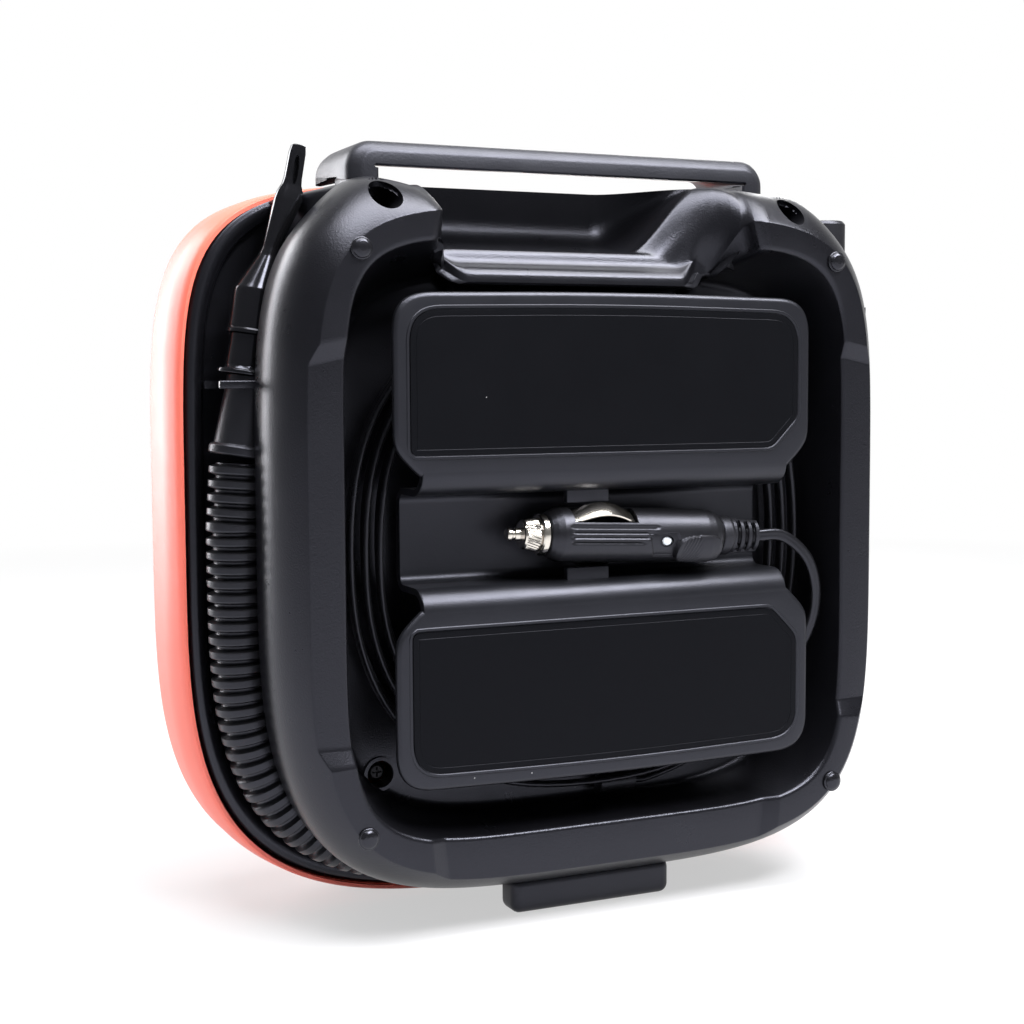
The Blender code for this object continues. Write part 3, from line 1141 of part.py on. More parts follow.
def plug():
    """Turned pieces on the plug's own axis, with lengths measured back from the tip."""
    axis = axis_empty("plug_axis", (PLUG_TIP_X, PLUG_Y, PLUG_Z), (0, -PLUG_TILT, 0))
    along = (0, math.pi / 2, 0)
    nut_front = -PIN_LENGTH
    nut_back = nut_front - NUT_LENGTH
    profile = [(0, 0), (PIN_RADIUS * 0.7, 0), (PIN_RADIUS, -1.2 * MM), (PIN_RADIUS, -PIN_LENGTH - 2 * MM),
               (NUT_BORE_RADIUS - RUNNING_CLEAR, -PIN_LENGTH - 5 * MM),
               (NUT_BORE_RADIUS - RUNNING_CLEAR, nut_back + 1 * MM),
               (0, nut_back + 1 * MM)]
    turned("plug_pin", profile, NICKEL, (0, 0, 0), along, axis)
    lip = PIN_RADIUS + RUNNING_CLEAR
    profile = [(lip, nut_front), (NUT_RADIUS - 2.4 * MM, nut_front),
               (NUT_RADIUS - 1.6 * MM, nut_front - 1 * MM),
               (NUT_RADIUS - 1.6 * MM, nut_back + 3 * MM), (NUT_RADIUS, nut_back + 2.2 * MM),
               (NUT_RADIUS, nut_back),
               (NUT_BORE_RADIUS, nut_back), (NUT_BORE_RADIUS, nut_front - 4 * MM + RUNNING_CLEAR),
               (lip, nut_front - 1.5 * MM)]
    turned("plug_nut", profile, NICKEL, (0, 0, 0), along, axis, ring=True)
    shoulder = nut_back - CLEAR
    barrel_end = shoulder - BARREL_LENGTH
    counterbore = shoulder - PIN_TRAVEL
    profile = [(NUT_BORE_RADIUS, shoulder), (NUT_RADIUS, shoulder), (BARREL_RADIUS, shoulder - 5 * MM),
               (BARREL_RADIUS, barrel_end + 10 * MM), (BARREL_RADIUS - 2.4 * MM, barrel_end), (0, barrel_end),
               (0, shoulder - BARREL_BORE_LENGTH), (BARREL_BORE_RADIUS, shoulder - BARREL_BORE_LENGTH),
               (BARREL_BORE_RADIUS, counterbore), (NUT_BORE_RADIUS, counterbore)]
    body = turned("plug_body", profile, RUBBER, (0, 0, 0), along, axis, ring=True, steps=24)
    front = shoulder - CONTACT_FROM_SHOULDER
    back = front - CONTACT_LENGTH
    room = RUNNING_CLEAR
    floor = CONTACT_SEAT_RADIUS - CONTACT_THICK - CONTACT_TRAVEL - room
    lean = (-CONTACT_LEAN, 0, 0)
    for side, label in ((1, "upper"), (-1, "lower")):
        low, high = sorted((side * floor, side * 2 * BARREL_RADIUS))
        cut(body, box_mesh((back - room, -CONTACT_WIDTH / 2 - room, low),
                           (front + room, CONTACT_WIDTH / 2 + room, high)),
            rotation=lean, parent=axis)
        middle = (front + back) / 2
        rise = [(middle + CONTACT_LENGTH * (i / 8 - 0.5), math.sin(math.pi * i / 8)) for i in range(9)]
        strip = [(x, CONTACT_SEAT_RADIUS + CONTACT_RISE * share) for x, share in rise]
        strip += [(x, CONTACT_SEAT_RADIUS - CONTACT_THICK + CONTACT_RISE * share)
                  for x, share in reversed(rise)]
        turn = Matrix(((1, 0, 0, 0), (0, 0, 1, 0), (0, side, 0, 0), (0, 0, 0, 1)))
        place(f"plug_contact_{label}", outline_mesh([strip], CONTACT_WIDTH / 2, turn), NICKEL,
              rotation=lean, parent=axis)
    fuse_front = nut_back + 1 * MM - PIN_TRAVEL - CLEAR
    place("plug_fuse", rod_mesh(FUSE_RADIUS, fuse_front - FUSE_LENGTH, fuse_front, "X", 12), GLASS,
          parent=axis)
    led_x = barrel_end + 27.5 * MM
    cut(body, rod_mesh(LED_RADIUS + CLEAR, BARREL_RADIUS - 2 * MM, 2 * BARREL_RADIUS, "Y", 10),
        (led_x, 0, 0), parent=axis)
    place("plug_lamp", rod_mesh(LED_RADIUS, BARREL_RADIUS - 2 * MM + CLEAR, BARREL_RADIUS - CLEAR, "Y",
                                10), RED_LENS,
          (led_x, 0, 0), parent=axis)
    relief_front = barrel_end - CLEAR
    waist = relief_front - COLLAR_LENGTH
    end = waist - RELIEF_LENGTH
    profile = [(0, relief_front), (RELIEF_RADIUS + 1.8 * MM, relief_front), (RELIEF_RADIUS + 1.2 * MM, waist)]
    for i in range(4):
        at = waist - RELIEF_LENGTH * (i + 0.5) / 4
        profile += [(RELIEF_RADIUS - 1.2 * MM, at + 1 * MM), (RELIEF_RADIUS - 1.2 * MM, at),
                    (RELIEF_RADIUS - 0.3 * i * MM, at - 0.6 * MM),
                    (RELIEF_RADIUS - 0.3 * i * MM, at - 1.2 * MM)]
    profile += [(CORD_DIAMETER / 2 + 0.8 * MM, end), (0, end)]
    turned("plug_strain_relief", profile, RUBBER, (0, 0, 0), along, axis, steps=12)
    return axis, end


# Cord

WIND_FIRST_Y = BAY_FLOOR_Y + WIND_FLOOR_ROOM


def wind_point(angle, draw_in, y):
    ring = Ring(WIND_HALF_WIDTH - draw_in, WIND_Z - WIND_HALF_HEIGHT + draw_in,
                WIND_Z + WIND_HALF_HEIGHT - draw_in,
                WIND_BEND, WIND_BEND)
    x, z = outline(ring, angle)
    return Vector((x, y, z))


def winding_points():
    """From the gland up the right side: in for the first layer, then a climb, and out for the second."""
    turns = 2 * WIND_TURNS + (WIND_START - WIND_END) / (2 * math.pi)
    count = round(turns * LOOP_POINTS)
    points = []
    for i in range(count + 1):
        gone = turns * i / count
        draw_in = WIND_STEP * (turns / 2 - abs(gone - turns / 2))
        climb = smooth((gone - turns / 2) / 0.5 + 0.5)
        lead_out = WIND_LEAD_OUT * (1 - smooth(gone / 0.2))
        points.append(wind_point(WIND_START - 2 * math.pi * gone, draw_in - lead_out,
                                 WIND_FIRST_Y + WIND_LAYER * climb))
    start = points[0] + Vector((CORD_DIAMETER, 0, 0))
    return [start] + points


def least_gap(points, thick, apart):
    """The least clear distance between stretches of one tube that are more than a share of a turn apart."""
    fine = resample(points, 8 * len(points))[0]
    skip = 8 * apart
    reach = range(len(fine) - skip)
    return min(float(np.linalg.norm(fine[i + skip:] - fine[i], axis=1).min()) for i in reach) - thick


def cord(axis, relief_end):
    points = winding_points()
    gap = least_gap(points, CORD_DIAMETER, LOOP_POINTS // 2)
    print(f"cord winding: least gap to itself {gap * 1000:.2f} mm")
    place("cord_winding", tube_mesh(points, [CORD_DIAMETER / 2] * len(points), 1), RUBBER)
    bpy.context.view_layer.update()
    plug_end = axis.matrix_world @ Vector((relief_end - CLEAR, 0, 0))
    into_plug = axis.matrix_world.to_3x3() @ Vector((1, 0, 0))
    start = points[-1]
    heading = (points[-1] - points[-2]).normalized()
    route = [start + heading * CLEAR, start + heading * 2.5 * CORD_DIAMETER]
    route += [Vector(p) for p in LEAD_MIDDLE]
    route += [plug_end - into_plug * 2.5 * CORD_DIAMETER, plug_end]
    place("cord_lead", tube_mesh(smooth_route(route, 22), [CORD_DIAMETER / 2] * 22, 2), RUBBER)
    gland_x = points[0].x + CLEAR
    made = place("cord_gland", rod_mesh(GLAND_RADIUS, 0, GLAND_LENGTH, "X", 14), RUBBER,
                 (gland_x, WIND_FIRST_Y, points[0].z))
    join(made, box_mesh((2 * MM, BAY_FLOOR_Y + CLEAR - WIND_FIRST_Y, -GLAND_RADIUS * 0.7),
                        (GLAND_LENGTH - 2 * MM, 0, GLAND_RADIUS * 0.7)), (gland_x, WIND_FIRST_Y, points[0].z))


LEAD_MIDDLE = [(-94 * MM, 44 * MM, 95 * MM), (-99.5 * MM, 47.5 * MM, 109 * MM), (-99.5 * MM, 49.5 * MM, 123 * MM),
               (-94.5 * MM, 50 * MM, 135.5 * MM)]


def smooth_route(points, count):
    """Points read evenly from a centripetal curve through the route's own points."""
    knots = [2 * points[0] - points[1]] + points + [2 * points[-1] - points[-2]]
    fine = []
    for p0, p1, p2, p3 in zip(knots, knots[1:], knots[2:], knots[3:]):
        t0 = 0.0
        t1 = t0 + math.sqrt((p1 - p0).length)
        t2 = t1 + math.sqrt((p2 - p1).length)
        t3 = t2 + math.sqrt((p3 - p2).length)
        for i in range(12):
            t = t1 + (t2 - t1) * i / 12
            a1 = p0 * ((t1 - t) / (t1 - t0)) + p1 * ((t - t0) / (t1 - t0))
            a2 = p1 * ((t2 - t) / (t2 - t1)) + p2 * ((t - t1) / (t2 - t1))
            a3 = p2 * ((t3 - t) / (t3 - t2)) + p3 * ((t - t2) / (t3 - t2))
            b1 = a1 * ((t2 - t) / (t2 - t0)) + a2 * ((t - t0) / (t2 - t0))
            b2 = a2 * ((t3 - t) / (t3 - t1)) + a3 * ((t - t1) / (t3 - t1))
            fine.append(b1 * ((t2 - t) / (t2 - t1)) + b2 * ((t - t1) / (t2 - t1)))
    return resample(fine + [points[-1]], count)[0]


# Compressor

PLATE_TOP_Z = FRAME_PLATE_Z + FRAME_PLATE_THICK
GEAR_LOW_Z = PLATE_TOP_Z + 1 * MM
GEAR_TOP_Z = GEAR_LOW_Z + GEAR_WIDTH
CRANK_X = MOTOR_X - GEAR_MODULE * (PINION_TEETH + CRANK_TEETH) / 2 - GEAR_GAP
ROD_LOW_Z = GEAR_TOP_Z + CLEAR + CRANK_PIN_LENGTH + CLEAR
CYLINDER_Z = ROD_LOW_Z + ROD_THICK / 2
BARREL_OUTER = PISTON_RADIUS + CLEAR + BARREL_WALL
PISTON_FACE_X = CRANK_X - CRANK_RADIUS - ROD_LENGTH
STROKE = 2 * CRANK_RADIUS
CYLINDER_END_X = PISTON_FACE_X - 1 * MM
HEAD_END_X = CYLINDER_END_X - CLEAR - HEAD_THICK


def gear_loop(teeth, first_tooth):
    """A gear's outline, four points to a tooth, with a tooth centred at the first angle."""
    pitch = GEAR_MODULE * teeth / 2
    tip, root = pitch + 0.9 * GEAR_MODULE, pitch - 1.25 * GEAR_MODULE
    step = 2 * math.pi / teeth
    loop = []
    for i in range(teeth):
        middle = first_tooth + i * step
        for share, radius in ((-0.29, root), (-0.1, tip), (0.1, tip), (0.29, root)):
            loop.append((radius * math.cos(middle + share * step), radius * math.sin(middle + share * step)))
    return loop


def compressor():
    floor_y = BAY_FLOOR_Y - REAR_WALL - CLEAR
    plate_ends = HEAD_END_X + HEAD_THICK, MOTOR_X + MOTOR_RADIUS + 6 * MM
    front_y = MOTOR_Y - MOTOR_RADIUS - 4 * MM
    made = place("compressor_frame",
                 box_mesh((plate_ends[0], front_y, FRAME_PLATE_Z), (plate_ends[1], floor_y, PLATE_TOP_Z)),
                 CAST)
    join(made, box_mesh((plate_ends[0] + 4 * MM, floor_y - FRAME_PLATE_THICK, FRAME_PLATE_Z + 1 * MM),
                        (plate_ends[1] - 4 * MM, floor_y - 0.1 * MM, PLATE_TOP_Z + 16 * MM)))
    join(made, rod_mesh(AXLE_RADIUS, PLATE_TOP_Z - FRAME_PLATE_THICK / 2, GEAR_TOP_Z, sides=14),
         (CRANK_X, MOTOR_Y, 0))
    cut(made, rod_mesh(SHAFT_RADIUS + 1.4 * MM, FRAME_PLATE_Z - 5 * MM, PLATE_TOP_Z + 5 * MM, sides=14),
        (MOTOR_X, MOTOR_Y, 0))
    saddle = BARREL_OUTER + FIN_HEIGHT
    saddle_low = min(-saddle, PLATE_TOP_Z - CYLINDER_Z - FRAME_PLATE_THICK / 2)
    stand = box_mesh((CYLINDER_END_X + 4 * MM, -saddle / 2, saddle_low),
                     (CYLINDER_END_X + 10 * MM, saddle / 2, -saddle / 2))
    join(made, stand, (0, MOTOR_Y, CYLINDER_Z))
    cut(made, rod_mesh(saddle + CLEAR, CYLINDER_END_X - HEAD_THICK, CYLINDER_END_X + 40 * MM, "X", 24),
        (0, MOTOR_Y, CYLINDER_Z))
    can_top = FRAME_PLATE_Z - CLEAR
    profile = [(0, can_top), (8 * MM, can_top), (MOTOR_RADIUS - 2 * MM, can_top),
               (MOTOR_RADIUS, can_top - 2 * MM),
               (MOTOR_RADIUS, can_top - MOTOR_LENGTH + 2 * MM),
               (MOTOR_RADIUS - 2 * MM, can_top - MOTOR_LENGTH), (0, can_top - MOTOR_LENGTH)]
    turned("motor", profile, STEEL, (MOTOR_X, MOTOR_Y, 0))
    flat = Matrix.Translation((0, 0, (GEAR_LOW_Z + GEAR_TOP_Z) / 2))
    pinion = place("drive_pinion", outline_mesh([gear_loop(PINION_TEETH, math.pi)], GEAR_WIDTH / 2, flat),
                   STEEL,
                   (MOTOR_X, MOTOR_Y, 0))
    join(pinion, rod_mesh(SHAFT_RADIUS, FRAME_PLATE_Z, GEAR_TOP_Z + 1 * MM, sides=12), (MOTOR_X, MOTOR_Y, 0))
    wheel = [gear_loop(CRANK_TEETH, math.pi / CRANK_TEETH), circle((0, 0), AXLE_RADIUS + CLEAR, 14)]
    gear = place("crank_gear", outline_mesh(wheel, GEAR_WIDTH / 2, flat), NYLON, (CRANK_X, MOTOR_Y, 0))
    join(gear, rod_mesh(CRANK_PIN_RADIUS, GEAR_TOP_Z - GEAR_WIDTH / 2,
                        GEAR_TOP_Z + CLEAR + CRANK_PIN_LENGTH, sides=14),
         (CRANK_X - CRANK_RADIUS, MOTOR_Y, 0))
    rod = place("piston_rod", rod_mesh(PISTON_RADIUS, 0, PISTON_THICK, "X", 24), CAST,
                (PISTON_FACE_X, MOTOR_Y, CYLINDER_Z))
    join(rod, box_mesh((PISTON_THICK / 2, -ROD_EYE_RADIUS / 2, -ROD_THICK / 2),
                       (ROD_LENGTH, ROD_EYE_RADIUS / 2, ROD_THICK / 2)),
         (PISTON_FACE_X, MOTOR_Y, CYLINDER_Z))
    join(rod, rod_mesh(ROD_EYE_RADIUS, -ROD_THICK / 2, ROD_THICK / 2, sides=18),
         (PISTON_FACE_X + ROD_LENGTH, MOTOR_Y, CYLINDER_Z))
    length = PISTON_THICK + STROKE + 1 * MM
    bore = PISTON_RADIUS + CLEAR
    profile = [(bore, length), (BARREL_OUTER, length)]
    for i in range(FIN_COUNT):
        at = length * (1 - (i + 0.6) / (FIN_COUNT + 0.2))
        profile += [(BARREL_OUTER, at + 1.2 * MM), (BARREL_OUTER + FIN_HEIGHT, at + 1 * MM),
                    (BARREL_OUTER + FIN_HEIGHT, at), (BARREL_OUTER, at - 0.2 * MM)]
    profile += [(BARREL_OUTER, 0), (bore, 0)]
    turned("cylinder", profile, CAST, (CYLINDER_END_X, MOTOR_Y, CYLINDER_Z), (0, math.pi / 2, 0), ring=True)
    profile = [(0, 0), (BARREL_OUTER, 0), (BARREL_OUTER + 1 * MM, -2 * MM),
               (BARREL_OUTER + 1 * MM, 2 * MM - HEAD_THICK),
               (AIR_HOSE_RADIUS, -HEAD_THICK), (0, -HEAD_THICK)]
    turned("cylinder_head", profile, CAST, (CYLINDER_END_X - CLEAR, MOTOR_Y, CYLINDER_Z), (0, math.pi / 2, 0))
    wall_x = -width_at(FRAME_INNER, AIR_ELBOW_Z) + CLEAR
    route = [Vector((HEAD_END_X - CLEAR, MOTOR_Y, CYLINDER_Z)),
             Vector((HEAD_END_X - 10 * MM, MOTOR_Y, CYLINDER_Z)),
             Vector((HEAD_END_X - 26 * MM, MOTOR_Y + 6 * MM, CYLINDER_Z - 8 * MM)),
             Vector((wall_x + 14 * MM, HOSE_Y - 8 * MM, AIR_ELBOW_Z + 14 * MM)),
             Vector((wall_x + 9 * MM, HOSE_Y, AIR_ELBOW_Z + 1 * MM)),
             Vector((wall_x + 1 * MM, HOSE_Y, AIR_ELBOW_Z))]
    place("outlet_tube", tube_mesh(smooth_route(route, 16), [AIR_HOSE_RADIUS * 0.8] * 16, 2), RUBBER)


# Blower

def blower():
    back_y = BAY_FLOOR_Y - REAR_WALL - CLEAR
    front_y = back_y - BLOWER_DEPTH
    inner = BLOWER_RADIUS - BLOWER_WALL
    shaft_hole = HUB_RADIUS + RUNNING_CLEAR
    profile = [(INLET_RADIUS, 0), (BLOWER_RADIUS, 0), (BLOWER_RADIUS, -BLOWER_DEPTH),
               (shaft_hole, -BLOWER_DEPTH),
               (shaft_hole, BLOWER_WALL - BLOWER_DEPTH), (inner, BLOWER_WALL - BLOWER_DEPTH),
               (inner, -BLOWER_WALL), (INLET_RADIUS, -BLOWER_WALL)]
    housing = turned("blower_housing", profile, BLACK, (BLOWER_X, back_y, BLOWER_Z), (-math.pi / 2, 0, 0),
                     ring=True, steps=24)
    profile = [(0, 0), (BLOWER_MOTOR_RADIUS, 0), (BLOWER_MOTOR_RADIUS, -BLOWER_MOTOR_LENGTH),
               (0, -BLOWER_MOTOR_LENGTH)]
    turned("blower_motor", profile, STEEL, (BLOWER_X, front_y - CLEAR, BLOWER_Z), (-math.pi / 2, 0, 0))
    middle = (BLOWER_X, front_y, BLOWER_Z)
    disc_y = BLOWER_WALL + 3 * MM
    made = place("impeller", rod_mesh(IMPELLER_RADIUS, disc_y, disc_y + 2 * MM, "Y", 24), NYLON, middle)
    join(made, rod_mesh(HUB_RADIUS, CLEAR, disc_y + IMPELLER_WIDTH, "Y", 14), middle)
    for i in range(IMPELLER_BLADES):
        blade = box_mesh((-0.8 * MM, disc_y + 1 * MM, HUB_RADIUS + 3 * MM),
                         (0.8 * MM, disc_y + IMPELLER_WIDTH, IMPELLER_RADIUS - 0.5 * MM))
        join(made, blade, middle, (0, 2 * math.pi * i / IMPELLER_BLADES, 0))
    spout_foot = height_at(FRAME_INNER, abs(BLOWER_X) + DUCT_RADIUS, False) + CLEAR
    spout_at = (BLOWER_X, (back_y + front_y) / 2, 0)
    spout_top = BLOWER_Z - inner * math.cos(math.asin(DUCT_RADIUS / inner))
    join(housing, rod_mesh(DUCT_RADIUS, spout_foot, spout_top, sides=16), spout_at)
    cut(housing, rod_mesh(DUCT_RADIUS - BLOWER_WALL, spout_foot - DUCT_RADIUS,
                          spout_top + DUCT_RADIUS / 2, sides=16), spout_at)


rear_shell()
mid_frame()
front_shell()
control_panel()
controls()
handle()
foot()
small_fittings()
ribbed_hose()
nozzle_chain()
hose_socket()
air_line()
chuck()
cord_spool()
plug_axis, relief_end = plug()
cord(plug_axis, relief_end)
compressor()
blower()
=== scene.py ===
import math

import bmesh
import bpy
import numpy as np
from mathutils import Matrix, Vector


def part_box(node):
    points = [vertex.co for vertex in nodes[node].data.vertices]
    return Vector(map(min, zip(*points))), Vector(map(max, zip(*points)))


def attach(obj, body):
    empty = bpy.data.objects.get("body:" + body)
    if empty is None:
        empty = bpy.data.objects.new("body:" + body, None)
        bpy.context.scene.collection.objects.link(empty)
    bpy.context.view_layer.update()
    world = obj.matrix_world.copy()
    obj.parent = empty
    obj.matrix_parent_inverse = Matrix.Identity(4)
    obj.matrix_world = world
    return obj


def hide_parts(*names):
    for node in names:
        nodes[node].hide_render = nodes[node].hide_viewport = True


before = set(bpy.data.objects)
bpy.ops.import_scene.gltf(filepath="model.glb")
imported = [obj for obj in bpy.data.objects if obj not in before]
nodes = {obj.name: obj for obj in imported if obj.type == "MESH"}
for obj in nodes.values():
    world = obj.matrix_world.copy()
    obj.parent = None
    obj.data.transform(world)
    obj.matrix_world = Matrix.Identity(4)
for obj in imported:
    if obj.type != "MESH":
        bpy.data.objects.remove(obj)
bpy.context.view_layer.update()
scene = bpy.context.scene
scene.view_settings.view_transform = "Standard"


# Studio: the camera stands behind the unit, a little to its hose side and just above its middle.
# A white sweep and large soft lamps give the pale floor and the long soft highlights on the black case.
AZIMUTH, PITCH, ROLL = (math.radians(v) for v in (155.38, 4.457, -0.337))
CAMERA_AT, FOCAL_SHARE, SENSOR = (0.3019, 0.6248, 0.2080), 1680 / 1024, 36
SWEEP_HALF, SWEEP_GREY, SWEEP_ROUGHNESS = 6, (0.62, 0.62, 0.64, 1), 0.75
WHITE, ROOM_TINT, ROOM_STRENGTH = (1, 1, 1, 1), (0.97, 0.98, 1, 1), 0.2
LAMPS = (("top_soft", (0.0, 0.15, 1.15), (0, 0, 0.2), 1.2, 0.5, 24),
         ("strip_soft", (-0.32, 0.6, 1.05), (0, 0, 0.2), 1.0, 0.3, 24),
         ("left_soft", (0.75, -1.15, 0.5), (0.05, 0, 0.15), 0.6, 1.0, 19),
         ("right_soft", (-0.7, -1.1, 0.6), (0, 0, 0.15), 0.5, 0.9, 8))


def linked(name, data):
    """A new object in the scene."""
    made = bpy.data.objects.new(name, data)
    scene.collection.objects.link(made)
    return made


back = Vector((math.sin(AZIMUTH) * math.cos(PITCH), -math.cos(AZIMUTH) * math.cos(PITCH), math.sin(PITCH)))
right = (-back).cross(Vector((0, 0, 1))).normalized()
up = right.cross(-back)
turned_right = right * math.cos(ROLL) + up * math.sin(ROLL)
turned_up = up * math.cos(ROLL) - right * math.sin(ROLL)
stand = Matrix((turned_right, turned_up, back)).transposed().to_4x4()
stand.translation = CAMERA_AT
camera = linked("camera", bpy.data.cameras.new("camera"))
camera.data.lens = FOCAL_SHARE * SENSOR
camera.data.sensor_width = SENSOR
camera.matrix_world = stand
scene.camera = camera

for name, at, aim, width, height, power in LAMPS:
    lamp = bpy.data.lights.new(name, "AREA")
    lamp.shape = "RECTANGLE"
    lamp.size, lamp.size_y, lamp.energy = width, height, power
    made = linked(name, lamp)
    made.location = at
    made.rotation_euler = (Vector(aim) - Vector(at)).to_track_quat("-Z", "Y").to_euler()


def feed(tree, socket, value):
    """Links another node's output to a socket, or sets the socket to a plain value."""
    if isinstance(value, bpy.types.NodeSocket):
        tree.links.new(value, socket)
    else:
        socket.default_value = value


def add_node(tree, kind, values, **settings):
    """Adds a node, makes its settings, feeds its inputs and gives back its outputs."""
    node = tree.nodes.new(kind)
    for name, value in settings.items():
        setattr(node, name, value)
    for key, value in values.items():
        feed(tree, node.inputs[key], value)
    return node.outputs


def math_node(tree, operation, *values):
    return add_node(tree, "ShaderNodeMath", dict(enumerate(values)), operation=operation)["Value"]


def ranged(tree, value, start, end, first, last, **settings):
    """A value that runs from first to last between start and end."""
    spans = {"Value": value, "From Min": start, "From Max": end, "To Min": first, "To Max": last}
    return add_node(tree, "ShaderNodeMapRange", spans, **settings)["Result"]


def sees_white(tree, rays, mirrored):
    """The share of a ray that meets plain white: all of a camera or clear ray, and some of a mirrored one."""
    open_rays = math_node(tree, "MAXIMUM", rays["Is Camera Ray"], mirrored)
    return math_node(tree, "MAXIMUM", open_rays, rays["Is Transmission Ray"])


paper = bpy.data.materials.new("white_paper")
paper.use_nodes = True
tree = paper.node_tree
matte = tree.nodes["Principled BSDF"]
matte.inputs["Base Color"].default_value = SWEEP_GREY
matte.inputs["Roughness"].default_value = SWEEP_ROUGHNESS
place = tree.nodes.new("ShaderNodeTexCoord").outputs["Object"]
far = add_node(tree, "ShaderNodeVectorMath", {0: place}, operation="LENGTH")["Value"]
across = add_node(tree, "ShaderNodeSeparateXYZ", {0: place})["X"]
rays = tree.nodes.new("ShaderNodeLightPath").outputs
mirrored = math_node(tree, "MULTIPLY", rays["Is Glossy Ray"], ranged(tree, across, 0.3, 0.8, 1.0, 0.3))
white = math_node(tree, "MULTIPLY", ranged(tree, far, 0.25, 1.6, 0.55, 1.0), sees_white(tree, rays, mirrored))
glow = add_node(tree, "ShaderNodeEmission", {"Strength": 1.0})["Emission"]
blend = add_node(tree, "ShaderNodeMixShader", {"Fac": white, 1: matte.outputs["BSDF"], 2: glow})["Shader"]
feed(tree, tree.nodes["Material Output"].inputs["Surface"], blend)

sweep_mesh = bpy.data.meshes.new("paper_sweep")
corners = [(x * SWEEP_HALF, y * SWEEP_HALF, 0) for x, y in ((-1, -1), (1, -1), (1, 1), (-1, 1))]
sweep_mesh.from_pydata(corners, [], [(0, 1, 2, 3)])
sweep_mesh.materials.append(paper)
sweep = linked("paper_sweep", sweep_mesh)

scene.world = bpy.data.worlds.new("studio")
scene.world.use_nodes = True
tree = scene.world.node_tree
tree.nodes.clear()
toward = add_node(tree, "ShaderNodeSeparateXYZ",
                  {0: tree.nodes.new("ShaderNodeTexCoord").outputs["Generated"]})
rays = tree.nodes.new("ShaderNodeLightPath").outputs
behind = math_node(tree, "MULTIPLY", rays["Is Glossy Ray"], ranged(tree, toward["Y"], -0.3, -0.7, 0.0, 1.0))
mirrored = math_node(tree, "MULTIPLY", behind, ranged(tree, toward["X"], 0.1, 0.6, 1.0, 0.15))
room = add_node(tree, "ShaderNodeBackground", {"Color": ROOM_TINT, "Strength": ROOM_STRENGTH})["Background"]
backdrop = add_node(tree, "ShaderNodeBackground", {"Color": WHITE, "Strength": 1.0})["Background"]
blend = add_node(tree, "ShaderNodeMixShader", {"Fac": sees_white(tree, rays, mirrored), 1: room, 2: backdrop})
add_node(tree, "ShaderNodeOutputWorld", {"Surface": blend["Shader"]})


# Power cord: a flat twin lead in black vinyl, wound on the spool in two layers from a gland in the bay
# floor. Its last stretch leaves the winding at the lower right and swings up into the accessory plug.
MM, SHARP = 0.001, 38
CORD_WIDE, CORD_THICK, CORD_WAIST, WAIST_SPREAD = 4.8, 2.7, 0.3, 0.32
WIND_TURNS, WIND_STEP, WIND_LAYER, WIND_BEND = 6.1, 5.7, 6.0, 2.4
WIND_WIDE, WIND_HIGH, WIND_Y, MIDDLE_Z = 101, 97, 31.5, 145
WIND_START, WIND_LOOSE, LAYER_TURN, GLAND_STEP = math.radians(258), 4, 0.5, (4.8, 0, 0)
PLUG_TIP, PLUG_TILT, PLUG_LENGTH = np.array((41, 49.5, 150.3)), math.radians(2.7), 112.1
LEAD_ROUTE = [(-94, 44, 95), (-99.5, 47.5, 109), (-99.5, 49.5, 123), (-94.5, 50, 135.5)]
LEAD_STRAIGHT = 12


def eased_share(share):
    """A share from 0 to 1 with soft ends."""
    share = np.clip(share, 0, 1)
    return share * share * (3 - 2 * share)


def full_turn(count):
    return np.linspace(0, 2 * math.pi, count, endpoint=False)


def squared(angles, bend):
    """(across, rise) on a unit circle squared off by its bend: 2 is round, more is boxier."""
    return [np.sign(v) * np.abs(v) ** (2 / bend) for v in (np.cos(angles), np.sin(angles))]


def points(x, y, z):
    """Rows of points, with single numbers spread over the others' length."""
    return np.stack(np.broadcast_arrays(x, y, z), axis=1)


def finished(name, mesh, sharp=SHARP):
    """The mesh as an object, with doubled points merged, its faces outward and its edges shaded by angle."""
    work = bmesh.new()
    work.from_mesh(mesh)
    bmesh.ops.remove_doubles(work, verts=work.verts, dist=2e-6)
    bmesh.ops.dissolve_degenerate(work, edges=work.edges, dist=1e-6)
    bmesh.ops.recalc_face_normals(work, faces=work.faces)
    work.to_mesh(mesh)
    work.free()
    mesh.shade_smooth()
    mesh.set_sharp_from_angle(angle=math.radians(sharp))
    return linked(name, mesh)


def skin(name, rows, ring=False, caps=(True, True), sharp=SHARP):
    """A surface through rows of matching points in millimetres: a ring, or capped at its ends."""
    count = len(rows[0])
    spots = np.concatenate([np.asarray(row, float) for row in rows]) * MM
    pairs = [(i, i + 1) for i in range(len(rows) - 1)] + [(len(rows) - 1, 0)] * ring
    faces = [(a * count + i, a * count + (i + 1) % count, b * count + (i + 1) % count, b * count + i)
             for a, b in pairs for i in range(count)]
    if caps[0] and not ring:
        faces.append(tuple(range(count)))
    if caps[1] and not ring:
        faces.append(tuple(reversed(range(len(spots) - count, len(spots)))))
    mesh = bpy.data.meshes.new(name)
    mesh.from_pydata(spots.tolist(), [], faces)
    return finished(name, mesh, sharp)


def even_line(line, count):
    """Evenly spaced points along a line of points."""
    line = np.asarray(line, float)
    walked = np.concatenate([[0], np.cumsum(np.linalg.norm(np.diff(line, axis=0), axis=1))])
    at = np.linspace(0, walked[-1], count)
    return points(*(np.interp(at, walked, column) for column in line.T))


